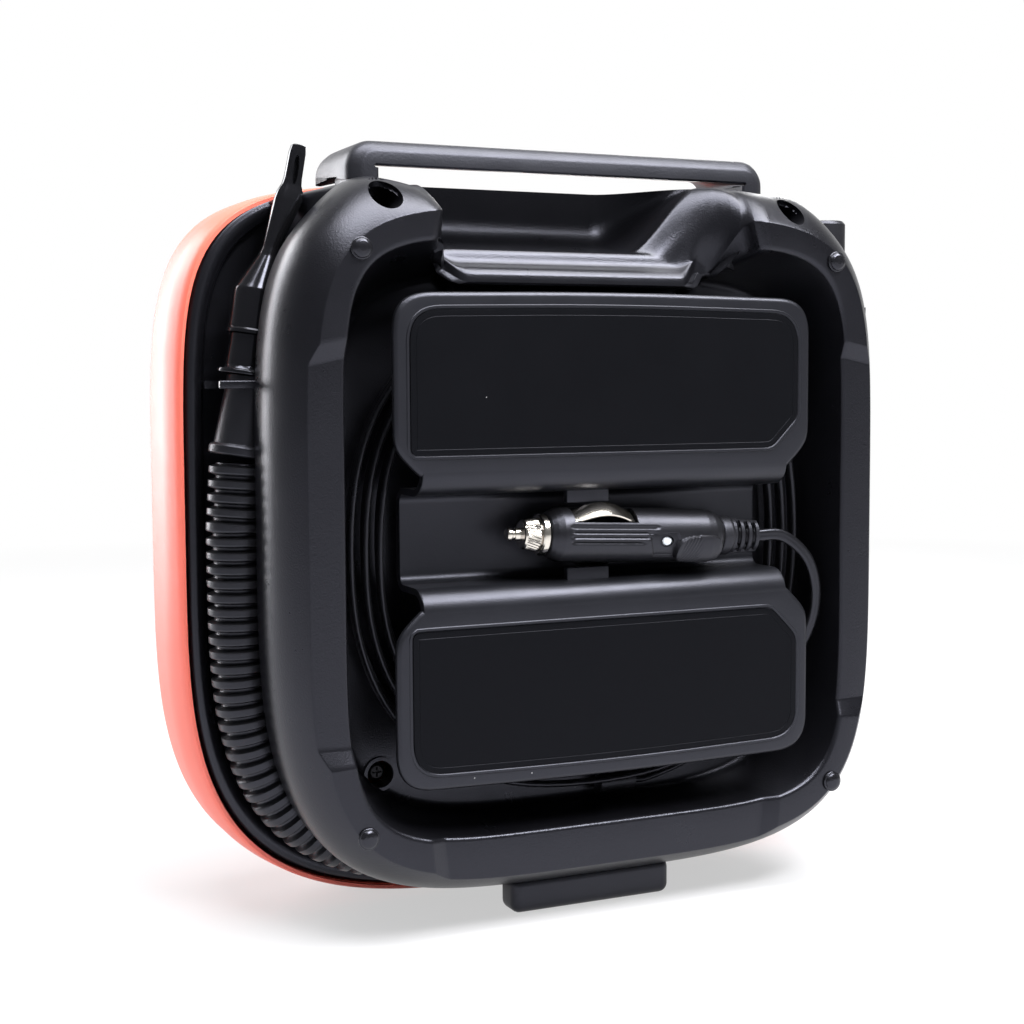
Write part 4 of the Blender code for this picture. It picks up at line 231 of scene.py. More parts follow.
def through(route, each=14):
    """A centripetal curve through a few route points."""
    knots = [2 * route[0] - route[1], *route, 2 * route[-1] - route[-2]]
    fine = []
    for p0, p1, p2, p3 in zip(knots, knots[1:], knots[2:], knots[3:]):
        t1 = math.sqrt(np.linalg.norm(p1 - p0))
        t2 = t1 + math.sqrt(np.linalg.norm(p2 - p1))
        t3 = t2 + math.sqrt(np.linalg.norm(p3 - p2))
        for t in np.linspace(t1, t2, each, endpoint=False):
            a1 = p0 * (t1 - t) / t1 + p1 * t / t1
            a2 = p1 * (t2 - t) / (t2 - t1) + p2 * (t - t1) / (t2 - t1)
            a3 = p2 * (t3 - t) / (t3 - t2) + p3 * (t - t2) / (t3 - t2)
            b1 = a1 * (t2 - t) / t2 + a2 * t / t2
            b2 = a2 * (t3 - t) / (t3 - t1) + a3 * (t - t1) / (t3 - t1)
            fine.append(b1 * (t2 - t) / (t2 - t1) + b2 * (t - t1) / (t2 - t1))
    return np.array(fine + [route[-1]])


def unit(rows):
    return rows / np.linalg.norm(rows, axis=-1, keepdims=True)


gone = np.linspace(0, WIND_TURNS, 147)
drawn = (WIND_STEP * (WIND_TURNS / 2 - np.abs(gone - WIND_TURNS / 2))
         - WIND_LOOSE * (1 - eased_share(gone / 0.2)))
across, rise = squared(WIND_START - 2 * math.pi * gone, WIND_BEND)
layer = WIND_LAYER * eased_share((gone - WIND_TURNS / 2) / LAYER_TURN + 0.5)
wind = points(across * (WIND_WIDE - drawn), WIND_Y + layer, MIDDLE_Z + rise * (WIND_HIGH - drawn))
wind = np.concatenate([[wind[0] + GLAND_STEP], wind])
PLUG_AXIS = np.array((math.cos(PLUG_TILT), 0, math.sin(PLUG_TILT)))
plug_end = PLUG_TIP - PLUG_AXIS * PLUG_LENGTH
heading = unit(wind[-1] - wind[-2])
lead = through([wind[-1] + heading * 0.3, wind[-1] + heading * LEAD_STRAIGHT, *map(np.array, LEAD_ROUTE),
                plug_end - PLUG_AXIS * LEAD_STRAIGHT, plug_end])
wound = through(list(wind), 4)
cord_line = np.concatenate([wound, even_line(lead, 70)])
heading = unit(np.gradient(cord_line, axis=0))
twist = eased_share((np.arange(len(cord_line)) - len(wound)) / 30)[:, None]
flat_way = np.array((0, 1, 0)) * (1 - twist) + np.cross(heading, (0, 1, 0)) * twist
flat_way = unit(flat_way - heading * (flat_way * heading).sum(axis=1)[:, None])
spin = full_turn(18)
half_wide = np.cos(spin) * CORD_WIDE / 2
half_thick = np.sin(spin) * CORD_THICK / 2 * (1 - CORD_WAIST * np.exp(-(np.cos(spin) / WAIST_SPREAD) ** 2))
power_cord = skin("power_cord", [at + np.outer(half_wide, wide) + np.outer(half_thick, thin)
                                 for at, wide, thin in zip(cord_line, flat_way, np.cross(heading, flat_way))])


# Moulded skin: spark-textured plastic with a slow change of tone, a polish that varies, and a few light
# specks of dust caught in the texture. Every moulded piece below carries it with its own values.
CLOUD_SCALE, SMUDGE_SCALE, SPECK_SCALE, BUMP_REACH = 14.0, 55.0, 170.0, 0.0004
SPECK_GREY, SPECK_COVER, COOL_TINT = (0.5, 0.5, 0.5, 1), 0.55, (0.81, 0.825, 1, 1)


def node_tree(name, kind, inputs, outputs):
    """A node tree with named inputs and outputs; also gives what comes in and where its results go."""
    tree = bpy.data.node_groups.new(name, kind)
    for label, socket, value in inputs:
        made = tree.interface.new_socket(name=label, in_out="INPUT", socket_type="NodeSocket" + socket)
        if value is not None:
            made.default_value = value
    for label, socket in outputs:
        tree.interface.new_socket(name=label, in_out="OUTPUT", socket_type="NodeSocket" + socket)
    return tree, tree.nodes.new("NodeGroupInput").outputs, tree.nodes.new("NodeGroupOutput").inputs


def noise_node(tree, coords, scale, detail, rough=0.5):
    values = {"Vector": coords, "Scale": scale, "Detail": detail, "Roughness": rough}
    return add_node(tree, "ShaderNodeTexNoise", values)["Fac"]


def swayed(tree, noise, amount, middle):
    """A value that noise sways by an amount to either side of its middle."""
    return math_node(tree, "MULTIPLY_ADD", math_node(tree, "SUBTRACT", noise, 0.5), amount, middle)


def mixed_colour(tree, share, first, second):
    mix = tree.nodes.new("ShaderNodeMix")
    mix.data_type = "RGBA"
    colours = [socket for socket in mix.inputs if socket.type == "RGBA"]
    for socket, value in zip((mix.inputs["Factor"], *colours), (share, first, second)):
        feed(tree, socket, value)
    return [socket for socket in mix.outputs if socket.type == "RGBA"][0]


moulded, given, put = node_tree("moulded_skin", "ShaderNodeTree", [
    ("Colour", "Color", (0.02, 0.02, 0.02, 1)), ("Tone", "Float", 0.2), ("Roughness", "Float", 0.4),
    ("Polish", "Float", 0.1), ("Grain", "Float", 1600.0), ("Dust", "Float", 0.01)],
    [("Colour", "Color"), ("Roughness", "Float"), ("Height", "Float")])
coords = moulded.nodes.new("ShaderNodeTexCoord").outputs["Object"]
tone = swayed(moulded, noise_node(moulded, coords, CLOUD_SCALE, 3.0), given["Tone"], 1.0)
shade = add_node(moulded, "ShaderNodeVectorMath", {0: given["Colour"], "Scale": tone},
                 operation="SCALE")["Vector"]
cells = add_node(moulded, "ShaderNodeTexVoronoi", {"Vector": coords, "Scale": SPECK_SCALE})
lot = add_node(moulded, "ShaderNodeSeparateColor", {"Color": cells["Color"]})
chosen = math_node(moulded, "LESS_THAN", lot["Red"], given["Dust"])
reach = math_node(moulded, "MULTIPLY_ADD", lot["Green"], 0.05, 0.03)
near = math_node(moulded, "LESS_THAN", cells["Distance"], reach)
speck = math_node(moulded, "MULTIPLY", math_node(moulded, "MULTIPLY", chosen, near), SPECK_COVER)
smudge = noise_node(moulded, coords, SMUDGE_SCALE, 4.0, 0.6)
feed(moulded, put["Colour"], mixed_colour(moulded, speck, shade, SPECK_GREY))
feed(moulded, put["Roughness"], swayed(moulded, smudge, given["Polish"], given["Roughness"]))
feed(moulded, put["Height"], noise_node(moulded, coords, given["Grain"], 2.0, 0.6))


def plastic(name, colour, roughness, grain=1600.0, depth=0.12, tone=0.25, polish=0.12, dust=0.012, **plain):
    """A moulded finish: the skin's group with its own values, and plain settings on the shader itself."""
    made = bpy.data.materials.new(name)
    made.use_nodes = True
    tree = made.node_tree
    values = {"Colour": (*colour, 1), "Tone": tone, "Roughness": roughness, "Polish": polish, "Grain": grain,
              "Dust": dust}
    coat = add_node(tree, "ShaderNodeGroup", values, node_tree=moulded)
    bump = add_node(tree, "ShaderNodeBump",
                    {"Strength": depth, "Distance": BUMP_REACH, "Height": coat["Height"]})
    shader = {"Base_Color": coat["Colour"], "Roughness": coat["Roughness"], "Normal": bump["Normal"],
              "Specular_Tint": COOL_TINT, **plain}
    for label, value in shader.items():
        feed(tree, tree.nodes["Principled BSDF"].inputs[label.replace("_", " ")], value)
    return made


def dress(made, finish, slot, body, *replaced):
    """Gives a piece its finish, the body it rides on and the nodes it stands for; the slot is not used."""
    made.data.materials.clear()
    made.data.materials.append(finish)
    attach(made, body)
    if replaced:
        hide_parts(*replaced)
    return made


vinyl = plastic("cord_vinyl", (0.006, 0.006, 0.007), 0.3, grain=900, depth=0.08, polish=0.15, dust=0.02)
dress(power_cord, vinyl, "black_rubber", "case", "cord_winding", "cord_lead")


# Ribbed hose: a corrugated black tube for high-volume air, stowed in the groove from a port in the bottom
# run, round the corner and up the side. Its square ribs are one continuous blown wall.
HOSE_CREST, HOSE_ROOT, HOSE_RIBS, HOSE_SIDES, RIB_STEPS = 0.012, 0.0094, 61, 36, 14
HOSE_OUT, HOSE_DROP, HOSE_BEND, GROOVE_Y = 134.2, 124.4, 3.7, 12.7
HOSE_TOP, PORT_RUN, RUN_Z = [(132.53, 178), (HOSE_OUT, 154.06)], (-38, -62), 20.6
across, rise = squared(np.linspace(2 * math.pi, 1.5 * math.pi, 120)[1:-1], HOSE_BEND)
hose_line = np.concatenate([[(x, GROOVE_Y, z) for x, z in HOSE_TOP],
                            points(across * HOSE_OUT, GROOVE_Y, MIDDLE_Z + rise * HOSE_DROP),
                            [(x, GROOVE_Y, RUN_Z) for x in PORT_RUN]])
hose_line = even_line(hose_line, 240)[::-1]


def coated(tree, geometry, finish):
    """The geometry as real mesh with its finish set."""
    real = add_node(tree, "GeometryNodeRealizeInstances", {"Geometry": geometry})["Geometry"]
    return add_node(tree, "GeometryNodeSetMaterial", {"Geometry": real, "Material": finish})["Geometry"]


def grown(name, source, tree, values, sharp=SHARP):
    """The plain mesh that a node tree makes from an object, as a new object; the source goes."""
    change = source.modifiers.new("make", "NODES")
    change.node_group = tree
    for item in tree.interface.items_tree:
        if item.in_out == "INPUT" and item.name in values:
            change[item.identifier] = values[item.name]
    bpy.context.view_layer.update()
    mesh = bpy.data.meshes.new_from_object(source.evaluated_get(bpy.context.evaluated_depsgraph_get()))
    mesh.name = name
    bpy.data.objects.remove(source)
    return finished(name, mesh, sharp)


def line_object(name, line):
    """A line of points in millimetres as a curve."""
    curve = bpy.data.curves.new(name, "CURVE")
    curve.dimensions = "3D"
    spline = curve.splines.new("POLY")
    spline.points.add(len(line) - 1)
    for knot, point in zip(spline.points, line):
        knot.co = (*(point * MM), 1)
    return linked(name, curve)


ribbed, given, put = node_tree("ribbed_sweep", "GeometryNodeTree", [
    ("Line", "Geometry", None), ("Crest", "Float", HOSE_CREST), ("Root", "Float", HOSE_ROOT),
    ("Ribs", "Int", HOSE_RIBS), ("Sides", "Int", HOSE_SIDES), ("Finish", "Material", None)],
    [("Hose", "Geometry")])
steps = math_node(ribbed, "MULTIPLY_ADD", given["Ribs"], RIB_STEPS, 1)
even = add_node(ribbed, "GeometryNodeResampleCurve", {"Curve": given["Line"], "Count": steps})["Curve"]
along = ribbed.nodes.new("GeometryNodeSplineParameter").outputs["Factor"]
share = math_node(ribbed, "FRACT", math_node(ribbed, "MULTIPLY", along, given["Ribs"]))
flanks = [ranged(ribbed, share, *span, interpolation_type="SMOOTHSTEP")
          for span in ((0.06, 0.26, 0.0, 1.0), (0.7, 0.9, 1.0, 0.0))]
height = math_node(ribbed, "SUBTRACT", given["Crest"], given["Root"])
radius = math_node(ribbed, "MULTIPLY_ADD", math_node(ribbed, "MULTIPLY", *flanks), height, given["Root"])
loop = add_node(ribbed, "GeometryNodeCurvePrimitiveCircle",
                {"Radius": 1.0, "Resolution": given["Sides"]})["Curve"]
swept = add_node(ribbed, "GeometryNodeCurveToMesh",
                 {"Curve": even, "Profile Curve": loop, "Scale": radius, "Fill Caps": True})["Mesh"]
feed(ribbed, put["Hose"], coated(ribbed, swept, given["Finish"]))

hose_black = plastic("hose_black", (0.007, 0.007, 0.008), 0.36, grain=1200, depth=0.08, dust=0.01)
sizes = {"Crest": HOSE_CREST, "Root": HOSE_ROOT, "Ribs": HOSE_RIBS, "Sides": HOSE_SIDES, "Finish": hose_black}
hose = grown("corrugated_hose", line_object("hose_line", hose_line), ribbed, sizes, sharp=60)
dress(hose, hose_black, "black_rubber", "case", "ribbed_hose")


# Air hose: a short smooth rubber hose in the other side's groove, from the elbow to the tire chuck.
# It bows out a little, as a stiff hose does between two fixed ends.
AIR_X, AIR_LOW, AIR_LENGTH, AIR_BOW, AIR_RADIUS = -128.4, 93.3, 90.4, 1.5, 4.5
rise = np.linspace(0, 1, 40)
air_line = points(AIR_X - AIR_BOW * np.sin(math.pi * rise) ** 2, GROOVE_Y, AIR_LOW + AIR_LENGTH * rise)
spin = full_turn(28)
ring = points(AIR_RADIUS * np.cos(spin), AIR_RADIUS * np.sin(spin), 0)
air_hose = skin("smooth_air_hose", [at + ring for at in air_line])
hose_rubber = plastic("hose_rubber", (0.016, 0.016, 0.017), 0.5, grain=1400)
dress(air_hose, hose_rubber, "black_rubber", "case", "air_hose")


# Front shell: the orange half of the case, injection moulded with a fine satin texture. It bulges a little
# behind its edge and rounds over to the control panel; its edge closes on the frame's black lip.
LIP = (150, 3.5, 284.5, 5.6, 3.6)
FRONT_EDGE, FRONT_WIDEST = (152.5, 1, 284.6, 5.6, 3.6), (156, 1, 285.1, 5.6, 3.6)
FRONT_Y, SWELL_OUT, SWELL_UP, SWELL_DEEP = -0.8, 3.5, 0.5, 16.8
ROUND_Y, ROUND_DEEP, ROUND_IN = -32, 27.5, 50
OPENING_IN, OPENING_BENDS, OPENING_Y, FRONT_WALL = 53, (4.4, 4), -59.5, 2.2


def outline(ring, angles):
    """(x, z) of a rounded box's ring: half-width, bottom, top and the bends of its top and bottom corners."""
    half, low, high, top_bend, low_bend = ring
    across, rise = squared(angles, np.where(np.sin(angles) > 0, top_bend, low_bend))
    return across * half, (high + low) / 2 + rise * (high - low) / 2


def inset(ring, side, low=None, high=None, bends=None):
    """A ring drawn in at its sides, and by as much at its bottom and top unless they have their own."""
    low = side if low is None else low
    high = side if high is None else high
    return (ring[0] - side, ring[1] + low, ring[2] - high, *(bends or ring[3:]))


def even_angles(ring, count):
    """The angles of evenly spaced points along a ring."""
    fine = np.linspace(0, 2 * math.pi, 20001)
    x, z = outline(ring, fine)
    walked = np.concatenate([[0], np.cumsum(np.hypot(np.diff(x), np.diff(z)))])
    return np.interp(np.linspace(0, walked[-1], count, endpoint=False), walked, fine)


around = even_angles(LIP, 320)


def ring_row(ring, y, angles=around):
    x, z = outline(ring, angles)
    return points(x, y, z)


def applied(made):
    """The piece with its modifiers made real."""
    bpy.context.view_layer.update()
    mesh = bpy.data.meshes.new_from_object(made.evaluated_get(bpy.context.evaluated_depsgraph_get()))
    made.modifiers.clear()
    made.data = mesh
    mesh.shade_smooth()
    mesh.set_sharp_from_angle(angle=math.radians(SHARP))
    return made


def walled(made, thickness):
    wall = made.modifiers.new("wall", "SOLIDIFY")
    wall.thickness = thickness * MM
    wall.offset = -1
    return applied(made)


rows = [ring_row(inset(FRONT_EDGE, by), y) for by, y in ((1.6, FRONT_Y), (0.5, -0.85), (0, -1.6))]
for t in np.linspace(0.12, 1, 9):
    swell = math.sin(t * math.pi / 2)
    swollen = inset(FRONT_EDGE, -SWELL_OUT * swell, low=0, high=-SWELL_UP * swell)
    rows.append(ring_row(swollen, FRONT_Y - SWELL_DEEP * t))
for lean in np.radians(np.arange(0, 88, 5)):
    drawn = 1 - math.cos(lean)
    bends = FRONT_EDGE[3] - math.sqrt(drawn), FRONT_EDGE[4] + 0.34 * drawn
    rounded = inset(FRONT_WIDEST, ROUND_IN * drawn, bends=bends)
    rows.append(ring_row(rounded, ROUND_Y - ROUND_DEEP * math.sin(lean)))
opening = inset(FRONT_EDGE, OPENING_IN, bends=OPENING_BENDS)
rows += [ring_row(inset(opening, -0.8), OPENING_Y), ring_row(opening, OPENING_Y + 0.7)]
front_shell = walled(skin("front_shell_moulding", rows, caps=(False, False)), FRONT_WALL)
orange = plastic("orange_satin", (0.84, 0.165, 0.11), 0.42, grain=1300, depth=0.07, tone=0.1, polish=0.1,
                 dust=0.004)
dress(front_shell, orange, "orange_plastic", "case", "front_shell")


# Middle frame: the black moulding between the two shells. Its lip closes on the orange shell, its deep
# groove stows the hoses all round, and its flange carries the rear shell. A notched rib holds the hose cuff.
REAR_EDGE, GROOVE = (131, 11.5, 284, 4.8, 3.7), (119, 33, 257, 4.6, 3.8)
FRAME_FRONT, GROOVE_FRONT, EDGE_Y, FRAME_BACK, FRAME_WALL = -8, -5, 25.5, 28, 3
FLANGE_GAP, FLANGE_CUT, FLANGE_RAMP = 2.9, (-78, 84), 6
SHELF_Z = 258.2
SHOULDER_LIFT, LIFT_FROM, LIFT_RAMP = 6, 116, 26
SINK_LEFT, SINK_RIGHT = (0.27, 102, 28), (0.12, 104, 24)
FOOT_ROOM_HALF, FOOT_ROOM_BACK, FOOT_ROOM_TOP = 35.4, 42.4, 14.7
BRIDGE_X, BRIDGE_Y, BRIDGE_FRONT, FADE_FROM, FADE_RAMP = (71, 109), (-0.3, 25.7), -5.4, 97, 11
# The leaning line of the hose's cuff, the adapter and the nozzle.
CHAIN_BASE, CHAIN_LEAN = np.array((132.53, GROOVE_Y, 180.28)), math.radians(9.5)
CHAIN_SIDE = (math.cos(CHAIN_LEAN), 0, math.sin(CHAIN_LEAN))
CHAIN_UP = (-math.sin(CHAIN_LEAN), 0, math.cos(CHAIN_LEAN))


def eased(keys, setbacks, steps=4, ring=False):
    """Rows through the key rows, with each corner rounded off over its setback."""
    rows = []
    for i, (key, setback) in enumerate(zip(keys, setbacks)):
        if not setback or (not ring and i in (0, len(keys) - 1)):
            rows.append(key)
            continue
        sides = []
        for other in (keys[i - 1], keys[(i + 1) % len(keys)]):
            away = other - key
            far = np.maximum(np.linalg.norm(away, axis=1), 1e-9)[:, None]
            sides.append(key + away / far * np.minimum(setback, 0.45 * far))
        for t in np.linspace(0, 1, steps + 1):
            rows.append(sides[0] * (1 - t) ** 2 + key * 2 * t * (1 - t) + sides[1] * t * t)
    return rows


def turned(name, profile, place, count=48, setback=0.0, steps=3, **shape):
    """A turned shape: (radius, height) points with rounded corners, set in place by a function."""
    spin = full_turn(count)
    keys = [points(r * np.cos(spin), r * np.sin(spin), float(h)) for r, h in profile]
    return skin(name, [place(row) for row in eased(keys, [setback] * len(keys), steps)], **shape)


def block(name, low, high, edge=0.8, steps=3):
    """A moulded block between two corners, with rounded edges."""
    mesh = bpy.data.meshes.new(name)
    work = bmesh.new()
    low, high = Vector(low) * MM, Vector(high) * MM
    place = Matrix.Translation((low + high) / 2) @ Matrix.Diagonal((*(high - low), 1))
    bmesh.ops.create_cube(work, size=1, matrix=place)
    if edge:
        bmesh.ops.bevel(work, geom=work.edges[:], offset=edge * MM, segments=steps, affect="EDGES",
                        profile=0.5)
    work.to_mesh(mesh)
    work.free()
    return finished(name, mesh)


def carved(made, *cutters):
    """The piece with the cutters taken out of it; the cutters go."""
    for cutter in cutters:
        change = made.modifiers.new("cut", "BOOLEAN")
        change.operation = "DIFFERENCE"
        change.solver = "EXACT"
        change.object = cutter
    applied(made)
    for cutter in cutters:
        bpy.data.objects.remove(cutter)
    return made


def joined(name, *pieces):
    """Several made pieces as one object."""
    work = bmesh.new()
    for piece in pieces:
        work.from_mesh(piece.data)
        bpy.data.objects.remove(piece)
    mesh = bpy.data.meshes.new(name)
    work.to_mesh(mesh)
    work.free()
    return finished(name, mesh)


def on_axes(base, *ways):
    """A function that sets points in place, when they are measured along three ways from a base."""
    def place(row):
        spots = np.array(base)
        for column, way in zip(row.T, ways):
            spots = spots + np.outer(column, way)
        return spots
    return place


def foot_room(front):
    """A cutter that leaves room for the foot behind a depth."""
    return block("foot_room", (-FOOT_ROOM_HALF, front, -5),
                 (FOOT_ROOM_HALF, FOOT_ROOM_BACK, FOOT_ROOM_TOP), 0)


def scoop_x(angles):
    """The rear edge's x along its top run, and far outside elsewhere."""
    return np.where(np.sin(angles) > 0, outline(REAR_EDGE, angles)[0], 999)


def flange_row(y):
    """The flange's edge, which drops to the groove's floor along the hand scoop."""
    x = scoop_x(around)
    drop = np.clip((FLANGE_CUT[1] - x) / FLANGE_RAMP, 0, 1) * np.clip((x - FLANGE_CUT[0]) / FLANGE_RAMP, 0, 1)
    edge, low = ring_row(inset(REAR_EDGE, FLANGE_GAP), y), ring_row(inset(GROOVE, -0.6), y)
    return edge + (low - edge) * drop[:, None]


def shoulder_lift(x):
    """How far the shoulder swells above its edge's ring beside the hand scoop."""
    return SHOULDER_LIFT * eased_share((LIFT_FROM - np.abs(x)) / LIFT_RAMP)


def shoulder_sink(x):
    """The share of the shelf's depth that the shoulder has sunk by before it drops into the scoop."""
    left, right = (most * np.clip((start - out) / ramp, 0, 1) ** 2
                   for (most, start, ramp), out in ((SINK_LEFT, x), (SINK_RIGHT, -x)))
    return np.where(x > 0, left, right)


def bridge(way):
    """The frame's flush top at one corner: it closes the groove from lip to rear shell under a handle end."""
    x = np.linspace(*BRIDGE_X, 34)
    lean = np.arccos((x / REAR_EDGE[0]) ** (REAR_EDGE[3] / 2))
    low, lip, rear = (np.array(outline(ring, lean))
                      for ring in (GROOVE, inset(LIP, 0.9), inset(REAR_EDGE, 0.5)))
    rear[1] += shoulder_lift(x)
    rear[1] += (SHELF_Z - rear[1]) * shoulder_sink(way * x) - 0.3
    full = 1 - eased_share((x - FADE_FROM) / FADE_RAMP) ** 1.5
    columns = [(low + (lip + (rear - lip) * t - low) * full, y)
               for t, y in zip(np.linspace(0, 1, 9), np.linspace(*BRIDGE_Y, 9))]
    under = low - [[0], [1]]
    columns += [(under, BRIDGE_Y[1]), (under, BRIDGE_FRONT), (low + (lip - low) * full, BRIDGE_FRONT)]
    rows = np.stack([points(x, y, z) for (x, z), y in columns], axis=1)
    return skin("frame_bridge", rows * (way, 1, 1), sharp=50)


on_chain = on_axes(CHAIN_BASE, CHAIN_SIDE, (0, 1, 0), CHAIN_UP)
keys = [ring_row(inset(LIP, by), y) for by, y in (
    (0, FRAME_FRONT), (0, -1.6), (2.2, 0.4), (4.4, 0), (5.4, -0.5), (6.5, -1.4), (6.5, GROOVE_FRONT))]
keys += [ring_row(GROOVE, GROOVE_FRONT), ring_row(GROOVE, EDGE_Y), flange_row(EDGE_Y), flange_row(FRAME_BACK),
         ring_row(inset(GROOVE, FRAME_WALL), FRAME_BACK), ring_row(inset(GROOVE, FRAME_WALL), FRAME_FRONT)]
setbacks = [0.6, 2, 1.6, 0.8, 0.5, 0.7, 1.8, 3, 0.5, 0.5, 0.5, 0, 0]
mid_frame = skin("mid_frame_moulding", eased(keys, setbacks, 3, True), ring=True)
carved(mid_frame, foot_room(0.5))
clip = block("clip_rib", (110, -5.5, 205.8), (143.2, 25, 208.8), 0.5)
carved(clip, turned("clip_notch", [(10.4, 20), (10.4, 36)], on_chain),
       block("clip_mouth", (128, 2.4, 200), (150, 23, 214), 0))
mid_frame = joined("mid_frame_moulding", mid_frame, clip, bridge(1), bridge(-1))
case_black = plastic("case_black", (0.0034, 0.0034, 0.0044), 0.3, grain=1500, depth=0.22, tone=0.3,
                     polish=0.16, dust=0.005)
dress(mid_frame, case_black, "black_plastic", "case", "mid_frame")


# Rear shell: the black half of the case. A smooth shoulder runs up to a flat rim with recessed pads on the
# sides and the bottom; inside it is the deep cord bay, and at the top the rim gives way to a hand scoop.
RIM_Y, BAY_FLOOR, LAND_Y, POCKET_Y, REAR_WALL = 60, 26, 31, 3.4, 2.5
RIM_INNER, BAY_FOOT = (107, 37, 260, 7, 6), (104, 40, 249.5, 5, 4.4)
SHOULDER_IN, SHOULDER_CURVE, SHOULDER_STEPS = 13, 2.2, 20
PAD_HIGH, PAD_WIDE, PAD_RAMP, PAD_DEEP = 76, 75, 8, 3
HORN_LEFT, HORN_RIGHT, HORN_LENGTH, HORN_ROUND = 77.5, -72, 7.5, 6.5
# The scoop's ends at the edge: where each starts, its ramp, and how the ramp and the start move to the bay.
SCOOP_LEFT, LEFT_RAMP, LEFT_GROWS = 70.5, 5, 3
SCOOP_RIGHT, RIGHT_RAMP, RIGHT_GROWS, RIGHT_MOVES = -56, 36, -24, -10
POCKET_LEFT, POCKET_RAMP = 71.5, 6
SCREW_HOLES = (((88.2, 275.2), 5.7, 70), ((-84.4, 275), 5.6, 70), ((84, 58), 5.2, 60), ((-84, 58), 5.2, 60))
BOSS, BOSS_PLACES = [(5.3, 0), (6.6, 0), (6.6, 9), (5.3, 9)], ((84, 18, 58), (-84, 18, 58))
CUP = [(0.05, 2), (7.4, 2), (7.4, 12), (8.2, 12), (8.2, 0), (0.05, 0)]
CUP_PLACES = ((87.4, 11, 271.5), (-85.4, 11, 271.5))
# The shelf's stepped front: share of the way from the land to the bay, then height and depth.
STEP = np.array([(0, 258.2, 31), (0.2, 258.2, 34.6), (0.32, 257.3, 36.4), (0.46, 253.8, 37),
                 (0.56, 252, 38.4), (0.7, 251.2, 41.5), (0.85, 249.8, 44.6), (1, 246.8, 46.4),
                 (1.1, 244.6, 46.6), (1.2, 243.8, 44)])


def shoulder_ring(bend):
    """The shoulder's ring at its share of the bend from the edge to the crease round the rim."""
    drawn = SHOULDER_IN * bend ** SHOULDER_CURVE
    return inset(REAR_EDGE, drawn, low=0.9 * drawn,
                 bends=(REAR_EDGE[3] + 0.6 * bend, REAR_EDGE[4] + 0.8 * bend))


def angle_at_x(ring, x, top):
    lean = np.arccos(np.minimum(1, np.abs(x) / ring[0]) ** (ring[3 if top else 4] / 2))
    lean = np.where(x > 0, lean, math.pi - lean)
    return lean if top else 2 * math.pi - lean


def angle_at_z(ring, z, positive):
    middle, half = (ring[2] + ring[1]) / 2, (ring[2] - ring[1]) / 2
    bend = np.where(z > middle, ring[3], ring[4])
    lean = np.sign(z - middle) * np.arcsin(np.minimum(1, np.abs(z - middle) / half) ** (bend / 2))
    return (lean if positive else math.pi - lean) % (2 * math.pi)


crease = shoulder_ring(1)
pad_ends = np.linspace(66.5, 76.5, 9)
scoop_ends = np.concatenate([np.linspace(58, 84, 40), np.linspace(86, 104, 8), np.linspace(-104, -86, 8),
                             np.linspace(-84, -6, 70)])
stations = np.concatenate([
    even_angles(REAR_EDGE, 300), angle_at_x(REAR_EDGE, scoop_ends, True),
    *[angle_at_z(crease, MIDDLE_Z + way * pad_ends, positive)
      for way in (1, -1) for positive in (True, False)],
    angle_at_x(crease, pad_ends, False), angle_at_x(crease, -pad_ends, False)])
stations = np.unique(np.round(stations, 4))
at_top, edge_x = np.sin(stations) > 0, scoop_x(stations)
sunk_share = np.where(at_top, shoulder_sink(edge_x), 0)
step_end = np.maximum(eased_share((edge_x - 54.5) / 12), eased_share((-36 - edge_x) / 13))
crease_x, crease_z = outline(crease, stations)
side_pad = (PAD_HIGH - np.abs(crease_z - MIDDLE_Z)) / PAD_RAMP
low_pad = np.where(at_top, 0, (PAD_WIDE - np.abs(crease_x)) / PAD_RAMP)
crease_y = RIM_Y - PAD_DEEP * np.clip(np.maximum(side_pad, low_pad), 0, 1)


def along_y(x, y, z):
    """Turned heights to +Y from a point."""
    return on_axes((x, y, z), (1, 0, 0), (0, 0, -1), (0, 1, 0))


def rod(name, at, radius, start, end, count=48):
    """A plain rod along Y, as a cutter or a post."""
    return turned(name, [(radius, start), (radius, end)], along_y(at[0], 0, at[1]), count)


def pocket_share(start, length):
    """How far the pocket's back wall has drawn away from the rim's edge."""
    return (eased_share((edge_x - start) / length)
            * eased_share((POCKET_LEFT - edge_x) / POCKET_RAMP))[:, None]


def step(t):
    """(z, y) of the stepped front of the shelf, running out into the shelf's own edge at both ends."""
    near = t + np.linspace(-0.09, 0.09, 9)
    z, y = (float(np.interp(near, STEP[:, 0], column).mean()) for column in (STEP[:, 1], STEP[:, 2]))
    return z + (min(257, z + 6) - z) * step_end, y + (min(38, y) - y) * step_end


def rim_key(ring, y, shelf_z, shelf_y, inward=0.0):
    """A row of the shell: on its ring round the rim, and at the shelf's height and depth in the scoop."""
    x, z = outline(ring, stations)
    from_end = np.where(edge_x > 20, HORN_LEFT - edge_x, edge_x - HORN_RIGHT)
    horn = np.clip(from_end / HORN_LENGTH, 0, 1) * at_top
    y = y - HORN_ROUND * (1 - np.sqrt(1 - horn ** 2)) * inward
    z = z + np.where(at_top, shoulder_lift(x), 0) * (1 - inward) ** 0.8
    left = eased_share((SCOOP_LEFT - edge_x) / (LEFT_RAMP + LEFT_GROWS * inward))
    right = eased_share((edge_x - SCOOP_RIGHT - RIGHT_MOVES * inward) / (RIGHT_RAMP + RIGHT_GROWS * inward))
    sunk = sunk_share * (1 - inward)
    scooped = sunk + (1 - sunk) * (left * right)
    return points(x, y + (shelf_y - y) * scooped, z + (shelf_z - z) * scooped)


